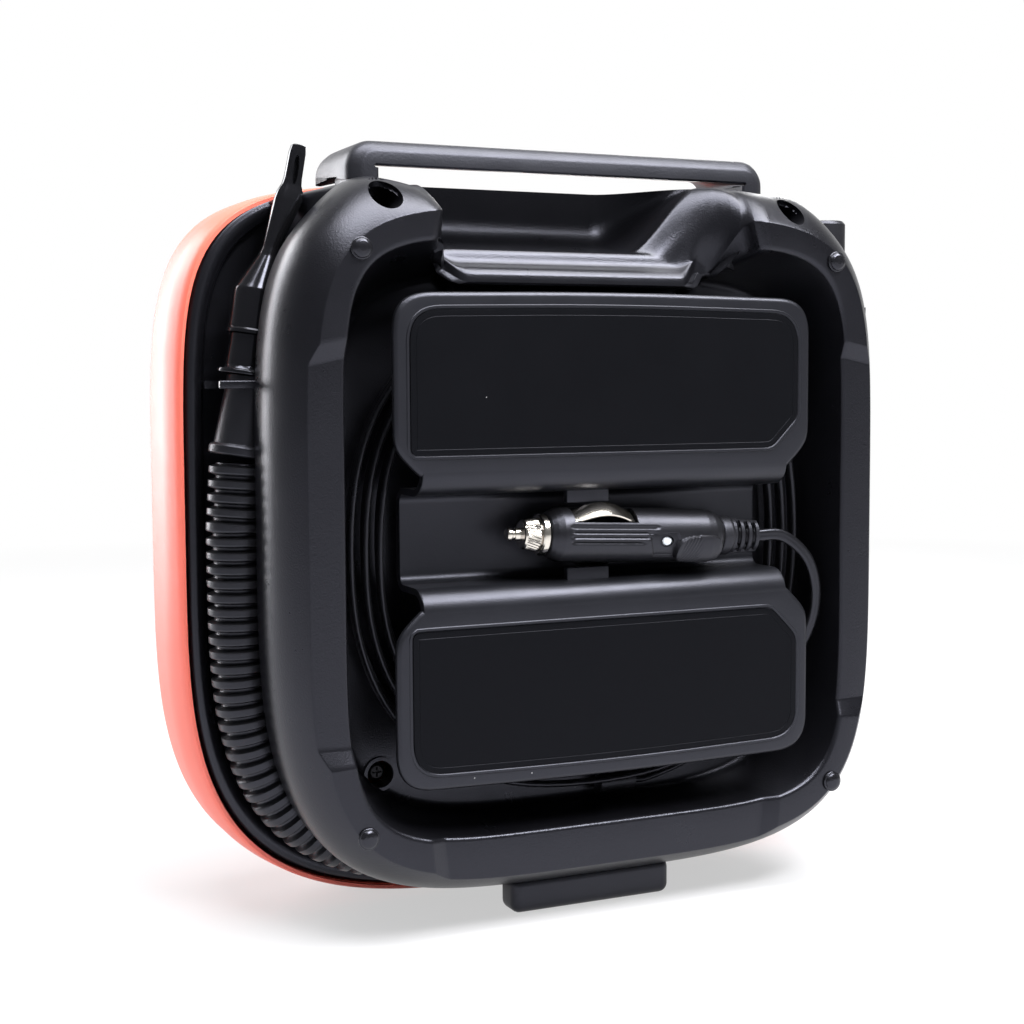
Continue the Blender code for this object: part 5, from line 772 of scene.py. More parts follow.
edge = ring_row(REAR_EDGE, EDGE_Y, stations)
edge[:, 2] += np.where(at_top, shoulder_lift(edge[:, 0]), 0)
wall_top = points(edge[:, 0], POCKET_Y, np.minimum(284.2, edge[:, 2] - 0.4))
wall_foot = points(edge[:, 0], POCKET_Y, SHELF_Z + 6)
edge = edge + points(0, 2.8 * sunk_share, (SHELF_Z - edge[:, 2]) * sunk_share)
keys = [edge + (wall_top - edge) * pocket_share(-62, 44), edge + (wall_foot - edge) * pocket_share(-58, 40),
        rim_key(REAR_EDGE, EDGE_Y, SHELF_Z, 28.3), rim_key(REAR_EDGE, LAND_Y, SHELF_Z, LAND_Y)]
climb = crease_y - LAND_Y
bend = climb / (RIM_Y - LAND_Y)
for t in np.linspace(0.1, 0.96, SHOULDER_STEPS):
    keys.append(rim_key(shoulder_ring(bend * t), LAND_Y + climb * t, *step(t), inward=t))
bay_edge = inset(RIM_INNER, 3 * (RIM_Y - crease_y) / (RIM_Y - BAY_FLOOR))
keys += [rim_key(shoulder_ring(bend), crease_y, *step(1.1), 1.0),
         rim_key(bay_edge, crease_y, *step(1.2), 1.0),
         rim_key(BAY_FOOT, BAY_FLOOR, SHELF_Z - 14, BAY_FLOOR, 1.0),
         rim_key(inset(BAY_FOOT, 6), BAY_FLOOR, SHELF_Z - 20, BAY_FLOOR, 1.0)]
setbacks = [0, 9, 4, 2.5] + [0] * SHOULDER_STEPS + [0.45, 1.8, 5, 0]
rear_shell = skin("rear_shell_moulding", eased(keys, setbacks), caps=(False, True))
carved(rear_shell, *[rod("hole", at, radius, 18, end) for at, radius, end in SCREW_HOLES], foot_room(27.5))
walled(rear_shell, REAR_WALL)
seats = [turned("boss", BOSS, along_y(*at), 40, ring=True) for at in BOSS_PLACES]
seats += [turned("cup", CUP, along_y(*at), 40) for at in CUP_PLACES]
rear_shell = joined("rear_shell_moulding", rear_shell, *seats)
dress(rear_shell, case_black, "black_plastic", "case", "rear_shell")


# Carry handle: a soft-touch strap over the top, a flat solid moulding with a bevelled back edge and a
# rounded front. Its two ends turn down, and a leg at each end is gripped between the lip and the rear shell.
STRAP_HALF, STRAP_TOP, STRAP_ROUND, STRAP_ENDS, END_SWELL = 92, 299, 10.6, (283.4, 286), 1.2
# Depth (y) and distance in from the strap's outer face.
SECTION = np.array([(22.3, 9.8), (23, 9.1), (23, 5), (22.5, 3.7), (20.7, 1.6), (18.8, 0.4), (16.6, 0), (8, 0),
                    (-4, 0), (-14, 0.1), (-19.6, 0.7), (-22.8, 1.7), (-24.5, 2.7), (-25, 3.3), (-24.2, 3.9),
                    (-12, 5.4), (0, 7), (12, 8.6)])
LEGS, LEG_Y, LEG_Z = ((80.4, 90.6), (-90.6, -80.4)), (0.9, 18.6), (254.4, 287)
strap = [(STRAP_HALF, z, -1, 0, END_SWELL) for z in STRAP_ENDS]
for a in np.radians(np.linspace(0, 90, 13)):
    across, rise = math.cos(a), math.sin(a)
    strap.append((STRAP_HALF - STRAP_ROUND * (1 - across), STRAP_TOP - STRAP_ROUND * (1 - rise),
                  -across, -rise, END_SWELL + (1 - END_SWELL) * eased_share(a / math.radians(90))))
strap += [(x, STRAP_TOP, 0, -1, 1.0) for x in np.linspace(72, 0, 13)]
strap += [(-x, z, -dx, dz, swell) for x, z, dx, dz, swell in strap[-2::-1]]
rows = []
for x, z, dx, dz, swell in strap:
    depth = SECTION[:, 1] * np.where(SECTION[:, 1] > 3, swell, 1)
    lift = np.where(z < 284, (23 - SECTION[:, 0]) * 0.13, 0)
    rows.append(points(x + dx * depth, SECTION[:, 0], z + dz * depth + lift))
grip = skin("grip_strap", rows, sharp=32)
legs = [block("handle_leg", (low, LEG_Y[0], LEG_Z[0]), (high, LEG_Y[1], LEG_Z[1]), 1.2) for low, high in LEGS]
handle = joined("carry_handle", grip, *legs)
soft_touch = plastic("soft_touch_grey", (0.011, 0.0113, 0.0135), 0.42, grain=1100, depth=0.2, tone=0.35,
                     polish=0.2, dust=0.015)
dress(handle, soft_touch, "black_rubber", "case", "handle")


# Foot: a black plate under the back that stands the unit up, with a web in front that cradles the hose run
# above it. Moulded with rounded edges and screwed up from inside; its back face is plain.
FOOT_HALF, FOOT_FRONT, FOOT_BACK, FOOT_TOP, CRADLE_RADIUS = 35, 28.2, 42, 14.3, 12.8
foot = joined("rear_foot",
              block("plate", (-FOOT_HALF, FOOT_FRONT, 0), (FOOT_HALF, FOOT_BACK, FOOT_TOP), 3.8, 6),
              block("web", (-20, 0.3, 6.5), (20, 29.6, FOOT_TOP), 1.5))
carved(foot, turned("cradle", [(CRADLE_RADIUS, -60), (CRADLE_RADIUS, 60)],
                    on_axes((0, GROOVE_Y, RUN_Z), (0, 1, 0), (0, 0, -1), (1, 0, 0))))
foot_black = plastic("foot_black", (0.006, 0.006, 0.007), 0.4, grain=1700, depth=0.1, dust=0.01)
dress(foot, foot_black, "black_plastic", "case", "foot")


# Bumpers, front pads and case screws: small fittings set in their places. The bumpers are domed rubber
# buttons pressed into the rim, the pads are rubber feet, and the screws are cross-headed and sit deep.
DOME = [(4.1, 0), (4.1, 0.5), (3.8, 0.75), (3.5, 0.75), (3.3, 1.35), (2.5, 1.9), (1.2, 2.17), (0.05, 2.2)]
DOME_PLACES = [(x, 60.3, z) for x in (100.9, -100.9) for z in (255, 43)]
PAD_PLACES = [(70, -26, 0), (-70, -26, 0)]
SCREW = [(0.05, -2.4), (1.5, -2.4), (1.5, 0), (3.6, 0), (3.6, 1.2), (2.5, 2.4), (0.05, 2.4)]
SCREW_PLACES = [(86, 28.3, 273), (-86, 28.3, 273), (84, 20.3, 58), (-84, 20.3, 58)]

fitted, given, put = node_tree("set_fittings", "GeometryNodeTree", [
    ("Pattern", "Geometry", None), ("Fitting", "Object", None), ("Size", "Float", 1.0),
    ("Finish", "Material", None)], [("Set", "Geometry")])
copied = add_node(fitted, "GeometryNodeObjectInfo", {"Object": given["Fitting"]})["Geometry"]
spread = add_node(fitted, "GeometryNodeInstanceOnPoints",
                  {"Points": given["Pattern"], "Instance": copied, "Scale": given["Size"]})["Instances"]
feed(fitted, put["Set"], coated(fitted, spread, given["Finish"]))


def set_fittings(name, fitting, places, finish):
    """One small fitting set on every place of a pattern; the fitting itself goes."""
    pattern = linked(name + "_pattern", bpy.data.meshes.new(name))
    pattern.data.from_pydata((np.array(places) * MM).tolist(), [], [])
    made = grown(name, pattern, fitted, {"Fitting": fitting, "Size": 1.0, "Finish": finish})
    bpy.data.objects.remove(fitting)
    return made


dome = turned("bumper", DOME, along_y(0, 0, 0), 40, 0.12, 2, sharp=50)
bumper_rubber = plastic("bumper_rubber", (0.006, 0.006, 0.007), 0.22, grain=900, depth=0.05, dust=0.02)
bumpers = set_fittings("rim_bumpers", dome, DOME_PLACES, bumper_rubber)
dress(bumpers, bumper_rubber, "black_rubber", "case", "bumper_top_left", "bumper_top_right",
      "bumper_bottom_left", "bumper_bottom_right")

pad_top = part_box("front_pad_left")[1][2] * 1000
sole = turned("sole", [(0.05, 0), (7.2, 0), (8.6, 0.8), (9, 2), (9, pad_top - 0.5), (8.5, pad_top)],
              lambda row: row, 48, 0.4, 2)
pad_rubber = plastic("pad_rubber", (0.018, 0.018, 0.018), 0.6, grain=1300, depth=0.2)
pads = set_fittings("front_pads", sole, PAD_PLACES, pad_rubber)
dress(pads, pad_rubber, "black_rubber", "case", "front_pad_left", "front_pad_right")

screw = turned("screw", SCREW, along_y(0, 0, 0), 40, 0.25)
carved(screw, block("slot_a", (-1.9, 1.1, -0.4), (1.9, 4, 0.4), 0),
       block("slot_b", (-0.4, 1.1, -1.9), (0.4, 4, 1.9), 0))
screw_steel = plastic("screw_zinc_black", (0.02, 0.02, 0.022), 0.42, grain=2200, depth=0.06, dust=0.0,
                      Metallic=0.85)
screws = set_fittings("case_screws", screw, SCREW_PLACES, screw_steel)
dress(screws, screw_steel, "steel", "case", "case_screw_top_left", "case_screw_top_right",
      "case_screw_bottom_left", "case_screw_bottom_right")


# Hose port, cuff, adapter and pinch nozzle: the ribbed hose leaves a plain port, and its free end carries a
# tapered cuff, a flanged adapter and a glossy nozzle that flattens to a slotted tip for small valves.
PORT = [(9.2, 6), (9.2, 0), (11.6, 0), (12.6, 1.2), (12.6, 24), (11, 26), (0.05, 26)]
CUFF = [(0.05, 0), (11.4, 0), (12.4, 0.6), (12.4, 3.2), (11.7, 4), (10.9, 4.2), (9.5, 27.4), (9.5, 30),
        (0.05, 30)]
ADAPTER = [(0.05, 30.3), (11, 30.3), (11, 31.7), (9, 32.1), (8.3, 33.4), (8, 42.6), (8.1, 45.3), (4.5, 45.3),
           (4.5, 56), (0.05, 56.3)]
ADAPTER_ASIDE, BORE_ASIDE, BORE_RADIUS, BORE_TOP = np.array((2.6, 0, 0)), 2, 5.2, 57.5
# The nozzle's stages: height, half-width, half-depth, bend of its section and shift to the side.
NOZZLE = np.array([
    (45.6, 9.9, 9.9, 2, 2.2), (46.8, 9.9, 9.9, 2, 2.3), (47.4, 9.4, 9.2, 2, 2.4), (60.8, 8.8, 8.6, 2, 3),
    (62.4, 8.6, 8.5, 2, 3), (64, 7.9, 7.9, 2, 2.8), (75.6, 3.5, 4.2, 2, 1), (78.6, 3.1, 3.7, 2.2, 0.4),
    (92, 4.7, 3.6, 2.6, -2.6), (98, 5.3, 3.3, 2.8, -3.8), (100.4, 5, 3, 3, -4.1),
    (103.4, 3.7, 2.5, 3.6, -4.2), (106, 3.3, 2.3, 4, -4.3), (115.6, 3.1, 2.1, 4, -4.6),
    (118.2, 2.7, 1.9, 4, -4.7), (118.6, 2, 1.4, 4, -4.7)])
EYE_ASIDE, EYE_HEIGHT, EYE_WIDE, EYE_LONG = -4.4, 109, 1.25, 5.6


def along_x(x, y, z):
    """Turned heights to -X from a point."""
    return on_axes((x, y, z), (0, 1, 0), (0, 0, 1), (-1, 0, 0))


port = turned("hose_port", PORT, along_x(-62.3, GROOVE_Y, RUN_Z), 56, 0.5)
dress(port, case_black, "black_plastic", "case", "hose_socket")

cuff = turned("hose_cuff_moulding", CUFF, on_chain, 64, 0.25)
cuff_black = plastic("cuff_black", (0.006, 0.006, 0.007), 0.36, grain=1500, depth=0.14)
dress(cuff, cuff_black, "black_rubber", "case", "hose_cuff")

gloss_black = plastic("gloss_black", (0.004, 0.004, 0.0046), 0.17, grain=700, depth=0.03, polish=0.1,
                      dust=0.008)
adapter = turned("nozzle_adapter_moulding", ADAPTER, lambda row: on_chain(row + ADAPTER_ASIDE), 64, 0.3)
dress(adapter, gloss_black, "gloss_black", "case", "nozzle_adapter")

spin = full_turn(56)
foot_height, tip_height = NOZZLE[0, 0], NOZZLE[-1, 0]
bore = BORE_ASIDE + BORE_RADIUS * np.cos(spin), BORE_RADIUS * np.sin(spin)
rows = [on_chain(points(*bore, height)) for height in (BORE_TOP, foot_height)]
for height in np.unique(np.concatenate([NOZZLE[:, 0], np.linspace(foot_height, tip_height, 70)])):
    wide, thick, bend, aside = (np.interp(height, NOZZLE[:, 0], column) for column in NOZZLE.T[1:])
    across, out = squared(spin, bend)
    rows.append(on_chain(points(aside + across * wide, out * thick, height)))
nozzle = skin("pinch_nozzle", rows, sharp=40)
eye = [on_chain(points(EYE_WIDE * np.cos(spin) * share + EYE_ASIDE, depth,
                       EYE_HEIGHT + EYE_LONG * np.sin(spin))) for depth, share in ((-0.7, 0.75), (6, 1))]
carved(nozzle, skin("nozzle_eye", eye))
dress(nozzle, gloss_black, "gloss_black", "nozzle", "nozzle")


# Cord spool: a slate moulding in the bay that the cord winds behind. Two broad plates face outward, each
# with a bevelled border round a label bed, and between them a rounded trough holds the plug under two tabs.
SPOOL_Z, LOOP_MIDDLE = 149, (0, 60)
PLATE_CORNERS = [(89, 36), (85.8, 31), (78.4, 24), (-78.4, 24), (-85.8, 31), (-89, 36), (-89, 91), (0, 92.5),
                 (89, 91)]
LABEL_CORNERS = [(83, 32), (-71, 32), (-83, 44), (-83, 85), (0, 86.5), (83, 85)]
ROLL_MIDDLE, ROLL_RADIUS, FILLET_MIDDLE, FILLET_RADIUS, TROUGH_WALL = (26, 50.8), 9, (13, 39), 4, 2.5
TROUGH_ENDS = ((-78.4, 0.6), (-78.1, 0.15), (-77.5, 0), (77.5, 0), (78.1, 0.15), (78.4, 0.6))


def rounded_loop(keys, setbacks):
    """A closed loop of (x, height) points with its corners rounded off."""
    return np.concatenate(eased([np.array([key], float) for key in keys], setbacks, 8, True))


def facing(loop, middle, count=360):
    """The loop's points at even turns round a middle, so that loops inside one another match."""
    fine = even_line(np.pad(np.concatenate([loop, loop[:1]]), ((0, 0), (0, 1))), 4000)[:-1, :2]
    away = fine - np.array(middle)
    turn = np.unwrap(np.arctan2(away[:, 1], away[:, 0]))
    way = 1 if turn[-1] > turn[0] else -1
    turn, away = turn[::way], away[::way]
    turn, reach = np.append(turn, turn[0] + 2 * math.pi), np.append(np.hypot(*away.T), np.hypot(*away[0]))
    at = full_turn(count)
    far = np.interp((at - turn[0]) % (2 * math.pi), turn - turn[0], reach)
    return np.stack([np.cos(at) * far, np.sin(at) * far], axis=1) + np.array(middle)


def shrunk(loop, by):
    """The loop drawn in evenly along its normals."""
    along = np.roll(loop, -1, axis=0) - np.roll(loop, 1, axis=0)
    return loop + unit(np.stack([-along[:, 1], along[:, 0]], axis=1)) * by


def plate_rows(steps, way):
    """Rows of a plate above or below the trough, from loops with how far each is drawn in and its depth."""
    return [points(ring[:, 0], y, SPOOL_Z + way * ring[:, 1])
            for ring, y in ((shrunk(loop, by), y) for loop, by, y in steps)]


def block_pair(name, x, y, rise, edge):
    """Two blocks that match, one above the trough and one below."""
    return [block(name, (x[0], y[0], SPOOL_Z + low), (x[1], y[1], SPOOL_Z + high), edge)
            for low, high in (rise, (-rise[1], -rise[0]))]


plate_loop = facing(rounded_loop(PLATE_CORNERS, [6, 4, 1.5, 1.5, 4, 6, 14, 60, 14]), LOOP_MIDDLE)
label_loop = facing(rounded_loop(LABEL_CORNERS, [3, 3, 3, 12, 50, 12]), LOOP_MIDDLE)
steps = [(label_loop, by, y) for by, y in ((0, 59.3), (0, 59.8), (-0.3, 60.15), (-1.1, 60.15), (-1.4, 59.8))]
steps += [(plate_loop, by, y) for by, y in (
    (1.9, 59.8), (1.2, 59.65), (0.5, 59.2), (0, 58.5), (0, 57.3), (0.3, 57))]
plates = [skin("plate", plate_rows(steps, way), sharp=30) for way in (1, -1)]
half = [(ROLL_MIDDLE[0] + ROLL_RADIUS * math.cos(a), ROLL_MIDDLE[1] + ROLL_RADIUS * math.sin(a))
        for a in np.radians(np.linspace(90, 180, 16))]
half += [(FILLET_MIDDLE[0] + FILLET_RADIUS * math.cos(a), FILLET_MIDDLE[1] - FILLET_RADIUS * math.sin(a))
         for a in np.radians(np.linspace(0, 90, 9))]
section = np.array([*half, *[(-v, y) for v, y in reversed(half)]])
along = np.gradient(section, axis=0)
normal = unit(np.stack([along[:, 1], -along[:, 0]], axis=1))
behind = section - normal * np.sign(normal[0, 1]) * TROUGH_WALL
loop = np.concatenate([section, behind[::-1]])
trough = skin("trough", [points(x, loop[:, 1] - drop, SPOOL_Z + loop[:, 0]) for x, drop in TROUGH_ENDS],
              sharp=35)
core = block_pair("core", x=(-56, 56), y=(26.3, 57.6), rise=(19.4, 55), edge=4)
tabs = block_pair("tab", x=(-1.6, 16.4), y=(49, 52.4), rise=(12.4, 23), edge=0.5)
spool = joined("cord_spool_moulding", *plates, trough, *core, *tabs)
slate = plastic("slate_satin", (0.006, 0.0063, 0.0078), 0.36, grain=1500, polish=0.14, dust=0.014)
dress(spool, slate, "slate_plastic", "case", "cord_spool")


# Labels: two blank foil labels in the plates' beds, left bare. Each is satin film with a fine border
# line just inside its edge and one clipped corner.
label_film = plastic("label_film", (0.0028, 0.003, 0.0038), 0.4, grain=500, depth=0.05, tone=0.2, dust=0.02,
                     Specular_IOR_Level=0.1)
steps = [(label_loop, by, y) for by, y in (
    (0.25, 59.62), (0.25, 59.95), (0.5, 60), (2.2, 60), (2.35, 59.9), (2.6, 59.9), (2.75, 60))]
for name, way in (("label_upper", 1), ("label_lower", -1)):
    film = skin(name + "_film", plate_rows(steps, way), sharp=30)
    dress(film, label_film, "label", "case", name)


# Accessory plug: a black barrel with a sprung nickel pin in a knurled nut, two arched side contacts, long
# flutes, a small lamp in a slanted window and a ribbed thumb rest. A collar and a ladder relief hold the
# lead. Profiles and stages run back from the tip of the pin.
PIN = [(0.05, 0.3), (1.2, 0.3), (1.6, 0), (2.3, 0.2), (2.6, 0.9), (2.6, 1.9), (2, 2.3), (2, 3), (2.6, 3.4),
       (2.6, 9), (0.05, 9)]
NUT = [(2.9, 6), (4.6, 6), (5.2, 6.3), (5.6, 7), *zip(np.linspace(5.7, 6.5, 18), np.linspace(7.3, 11.9, 18)),
       (6.5, 12.1), (5.8, 12.2), (5.8, 12.7), (7.3, 12.8), (7.9, 13.3), (8, 13.6), (8, 15.2), (7.8, 15.5),
       (7.3, 15.7)]
NUT_TEETH, TEETH_DEEP, TEETH_TWIST, TEETH_SPAN = 30, 0.34, 0.22, (7.2, 12)
BARREL = np.array([(16, 7.6), (16.3, 8.2), (18.2, 9.4), (20.8, 10.5), (23, 10.7), (84, 10.7), (87.4, 10.3),
                   (90, 9.5), (91.5, 8.4), (92, 7.7)])
# The flutes' and the window's places round the barrel are in degrees from its back.
FLUTES, FLUTE_START, FLUTE_DEEP, FLUTE_WIDE = ((20, 62), (9, 60.5), (-2, 58.5), (-13, 56)), 22, 0.7, 2.8
WINDOW_SPAN, WINDOW_TURN, WINDOW_SLANT, WINDOW_DEEP = (56.6, 70), (-48, 9), 0.07, 0.7
REST_MIDDLE, REST_HALF, REST_TURN, REST_START, REST_RISE = 79, 10.5, 30, 70, 1.7
RIB_STEP, RIB_SLANT, RIB_SPAN, RIB_DEEP = 1.35, 0.09, (70.5, 80), 0.35
CONTACT_LEAN, CONTACT_START, CONTACT_LENGTH = math.radians(35), 25.7, 25.6
CONTACT_LOW, CONTACT_ARCH, SLOT_SPAN, SLOT_HALF, SLOT_RISE = 8.5, 4.3, (24.9, 52.2), 4.5, (6.4, 16)
LAMP = [(0.05, 8.2), (1.7, 8.2), (1.7, 8.9), (1.4, 9.4), (0.7, 9.6), (0.05, 9.6)]
LAMP_BACK, LAMP_DROP, RECESS_BACK, RECESS_HALF = 65.1, 1.6, 64.5, (3.1, 2.3)
COLLAR = [(0.05, 92.3), (7.6, 92.3), (7.9, 93), (7.9, 96.2), (7.4, 97.3), (6.6, 97.7), (0.05, 97.7)]
SLEEVE = [(0.05, 97.4), (3.9, 97.4), (3, 111.4), (0.05, 111.8)]
RUNGS, RUNG_TALL, RUNG_DEEP, RUNG_TAPER = (99, 102.6, 106.2, 109.8), 6.9, 5.2, 0.3
RUNG = [(-0.85, 0), (-0.85, -0.75), (-0.65, -1), (0.65, -1), (0.85, -0.75), (0.85, 0), (0.65, 0.2),
        (-0.65, 0.2)]
RAIL = [(-1.7, -1.1), (-1.7, 0), (-1.2, 0.25), (1.2, 0.25), (1.7, 0), (1.7, -1.1)]
PLUG_UP = np.cross(PLUG_AXIS, (0, 1, 0))


# Points as distance back from the tip, out and up; and turned shapes, on the same axis.
on_plug = on_axes(PLUG_TIP, -PLUG_AXIS, (0, 1, 0), PLUG_UP)
plug_turned = on_axes(PLUG_TIP, (0, 1, 0), PLUG_UP, -PLUG_AXIS)


def leaned(spots):
    """Turned about the plug's axis to where the side contacts sit."""
    a, b, c = np.asarray(spots, float).T
    side, rise = math.cos(CONTACT_LEAN), math.sin(CONTACT_LEAN)
    return on_plug(points(a, b * side + c * rise, c * side - b * rise))


def between(value, low, high, ease):
    """1 between two limits, easing to 0 at each."""
    return eased_share((value - low) / ease) * eased_share((high - value) / ease)


def zigzag(value):
    """From 1 to 0 and back over each whole number."""
    return np.abs((value % 1) * 2 - 1)


def plated(name, colour, roughness, grain=900.0, depth=0.04):
    """Bright metal, with polish that varies and faint handling marks."""
    return plastic(name, colour, roughness, grain=grain, depth=depth, tone=0.12, polish=0.14, dust=0.0,
                   Metallic=1.0)


nickel = plated("nickel_plate", (0.70, 0.66, 0.60), 0.2)
pin = turned("centre_pin", PIN, plug_turned, 40, 0.2, sharp=30)
dress(pin, nickel, "nickel", "plug_pin", "plug_pin")

spin = full_turn(240)
rows = []
for r, s in NUT:
    if TEETH_SPAN[0] < s < TEETH_SPAN[1]:
        r = r - TEETH_DEEP * zigzag(spin * NUT_TEETH / (2 * math.pi) + s * TEETH_TWIST)
    rows.append(on_plug(points(s, r * np.cos(spin), r * np.sin(spin))))
nut = skin("knurled_nut", rows, sharp=26)
dress(nut, nickel, "nickel", "case", "plug_nut")

spin = full_turn(220)
turn = np.degrees((spin + math.pi) % (2 * math.pi) - math.pi)
rows = []
for s in np.linspace(BARREL[0, 0], BARREL[-1, 0], 240):
    r = np.full(len(spin), np.interp(s, *BARREL.T))
    for at, end in FLUTES:
        r -= FLUTE_DEEP * between(s, FLUTE_START, end, 3) * np.exp(-((turn - at) / FLUTE_WIDE) ** 2)
    window = between(s + turn * WINDOW_SLANT, *WINDOW_SPAN, 0.6) * between(turn, *WINDOW_TURN, 3)
    along, across = (s - REST_MIDDLE) / REST_HALF, (turn + REST_TURN - (s - REST_START) * 0.4) / REST_TURN
    rest = eased_share((1 - (np.abs(along) ** 3 + np.abs(across) ** 3)) / 0.18)
    share = eased_share((RIB_SPAN[1] - s) / 2) * eased_share(s - RIB_SPAN[0])
    ribs = share * zigzag((s - turn * RIB_SLANT) / RIB_STEP)
    raised = REST_RISE + 0.5 * (s - REST_START) / 20 - RIB_DEEP * ribs
    r += rest * raised - WINDOW_DEEP * window * (1 - rest)
    rows.append(on_plug(points(s, r * np.cos(spin), r * np.sin(spin))))
barrel = skin("plug_barrel", rows, sharp=35)
for way in (1, -1):
    rises = sorted(way * rise for rise in SLOT_RISE)
    corners = leaned([(a, b, c) for a in SLOT_SPAN for b in (-SLOT_HALF, SLOT_HALF) for c in rises])
    slot = bpy.data.meshes.new("slot")
    slot.from_pydata((corners * MM).tolist(), [], [(0, 1, 3, 2), (4, 6, 7, 5), (0, 4, 5, 1), (2, 3, 7, 6),
                                                   (0, 2, 6, 4), (1, 5, 7, 3)])
    carved(barrel, finished("contact_slot", slot))
spin = full_turn(48)
recess = RECESS_BACK + RECESS_HALF[0] * np.cos(spin), RECESS_HALF[1] * np.sin(spin) - LAMP_DROP
carved(barrel, skin("lamp_recess", [on_plug(points(recess[0], height, recess[1])) for height in (8.8, 14)]))
plug_black = plastic("plug_black", (0.0055, 0.0055, 0.0063), 0.34, grain=1900, depth=0.16, polish=0.18,
                     dust=0.02)
dress(barrel, plug_black, "black_rubber", "case", "plug_body")

for name, way in (("plug_contact_upper", 1), ("plug_contact_lower", -1)):
    rows = []
    for t in np.linspace(0, 1, 41):
        arch = math.sin(math.pi * t)
        rise, wide = CONTACT_LOW + CONTACT_ARCH * arch, 3.4 + 0.6 * arch
        edge = [(-wide, -0.1), (-wide + 0.2, 0.45), (-wide * 0.5, 0.72), (0, 0.8), (wide * 0.5, 0.72),
                (wide - 0.2, 0.45), (wide, -0.1), (0, 0.05)]
        rows.append(leaned([(CONTACT_START + CONTACT_LENGTH * t, b, way * (rise + c)) for b, c in edge]))
    strip = skin(name + "_strip", rows, sharp=40)
    dress(strip, nickel, "nickel", name, name)

lamp = turned("plug_lamp_lens", LAMP, lambda row: on_plug(
    points(LAMP_BACK + row[:, 0] * 1.25, row[:, 2], row[:, 1] - LAMP_DROP)), 32, 0.1)
lens = plastic("lamp_lens", (0.62, 0.66, 0.7), 0.12, grain=1400, depth=0.35, tone=0.5, polish=0.2, dust=0.0,
               Coat_Weight=0.6)
dress(lamp, lens, "red_lens", "case", "plug_lamp")

relief = [turned("collar", COLLAR, plug_turned, 56, 0.3)]
for i, s in enumerate(RUNGS):
    tall, deep = RUNG_TALL - RUNG_TAPER * i, RUNG_DEEP - RUNG_TAPER * i
    rows = [on_plug(np.array([(s + u, math.cos(a) * (deep + v), math.sin(a) * (tall + v)) for u, v in RUNG]))
            for a in full_turn(40)]
    relief.append(skin("rung", rows, ring=True, sharp=40))
for way in (1, -1):
    rows = []
    for s in np.linspace(97.4, 110.6, 10):
        tall = RUNG_TALL - 0.9 * (s - RUNGS[0]) / 11
        rows.append(on_plug(np.array([(s, b, way * (tall + c)) for b, c in RAIL])))
    relief.append(skin("rail", rows))
relief.append(turned("sleeve", SLEEVE, lambda row: plug_turned(row * (0.75, 1, 1)), 32, 0.2))
relief = joined("strain_relief", *relief)
relief_black = plastic("relief_black", (0.007, 0.007, 0.008), 0.45, grain=1500, depth=0.16, dust=0.02)
dress(relief, relief_black, "black_rubber", "case", "plug_strain_relief")


# Air elbow and tire chuck: a barbed elbow out of the frame feeds the air hose, which ends in a screw-free
# chuck with a ringed grip. Its thumb lever turns on a steel pin and presses a rubber seal round the valve.
BARB = [(0.05, 75), (5.4, 75), (6.5, 76.4), (6.5, 88), (5.9, 88.3), (5.9, 89.2), (6.5, 89.5), (6.5, 91.6),
        (5.6, 93), (0.05, 93)]
NECK, NECK_Z = [(0.05, 0), (3.2, 0), (3.2, -10), (4.6, -10.3), (4.6, -11.5), (0.05, -11.5)], 84
GRIP = [(7.5 - 0.55 * (i % 2), 194 + 1.6 * i + side) for i in range(18) for side in (0.15, 1.45)]
CHUCK = [(0.05, 184), (5.4, 184), (5.7, 185), (7.3, 191.6), *GRIP, (7.5, 224), (8.8, 229.6), (8.8, 252),
         (8.4, 252.4), (8.4, 253.6), (8.8, 254), (8.8, 274.6), (7.6, 276), (5.6, 276), (5, 275.2), (5, 262),
         (0.05, 262)]
PIN_X, PIN_Z, LUG_HALF, LUG_RADIUS = -140.7, 236, 2, 3.1
WEB_HALF, WEB_LENGTH = 2.8, 5
TREAD_X, TREAD_Y, TREAD_Z, TREAD_STEP, TREAD_TALL = (-146.35, -145.9), (8.2, 17.2), (199, 216), 2.2, 0.9
LUG = [(0.05, -LUG_HALF), (LUG_RADIUS, -LUG_HALF), (LUG_RADIUS, LUG_HALF), (0.05, LUG_HALF)]

along_air = on_axes((AIR_X, GROOVE_Y, 0), (1, 0, 0), (0, 1, 0), (0, 0, 1))
elbow = joined("air_elbow_moulding", turned("barb", BARB, along_air, 48, 0.3),
               turned("neck", NECK, along_x(AIR_X, GROOVE_Y, NECK_Z), 40, 0.2))
dress(elbow, case_black, "black_plastic", "case", "air_elbow")

sleeve = turned("chuck_sleeve", CHUCK, along_air, 64, 0.25, sharp=45)
lug = turned("lever_lug", LUG, along_y(PIN_X, GROOVE_Y, PIN_Z), 40, 0.3)
web = block("lug_web", (PIN_X, GROOVE_Y - LUG_HALF, PIN_Z - WEB_HALF),
            (PIN_X + WEB_LENGTH, GROOVE_Y + LUG_HALF, PIN_Z + WEB_HALF), 0.3)
chuck = joined("tire_chuck", sleeve, lug, web)
chuck_black = plastic("chuck_black", (0.008, 0.008, 0.009), 0.38, grain=1500, depth=0.14)
dress(chuck, chuck_black, "black_plastic", "case", "chuck_body")


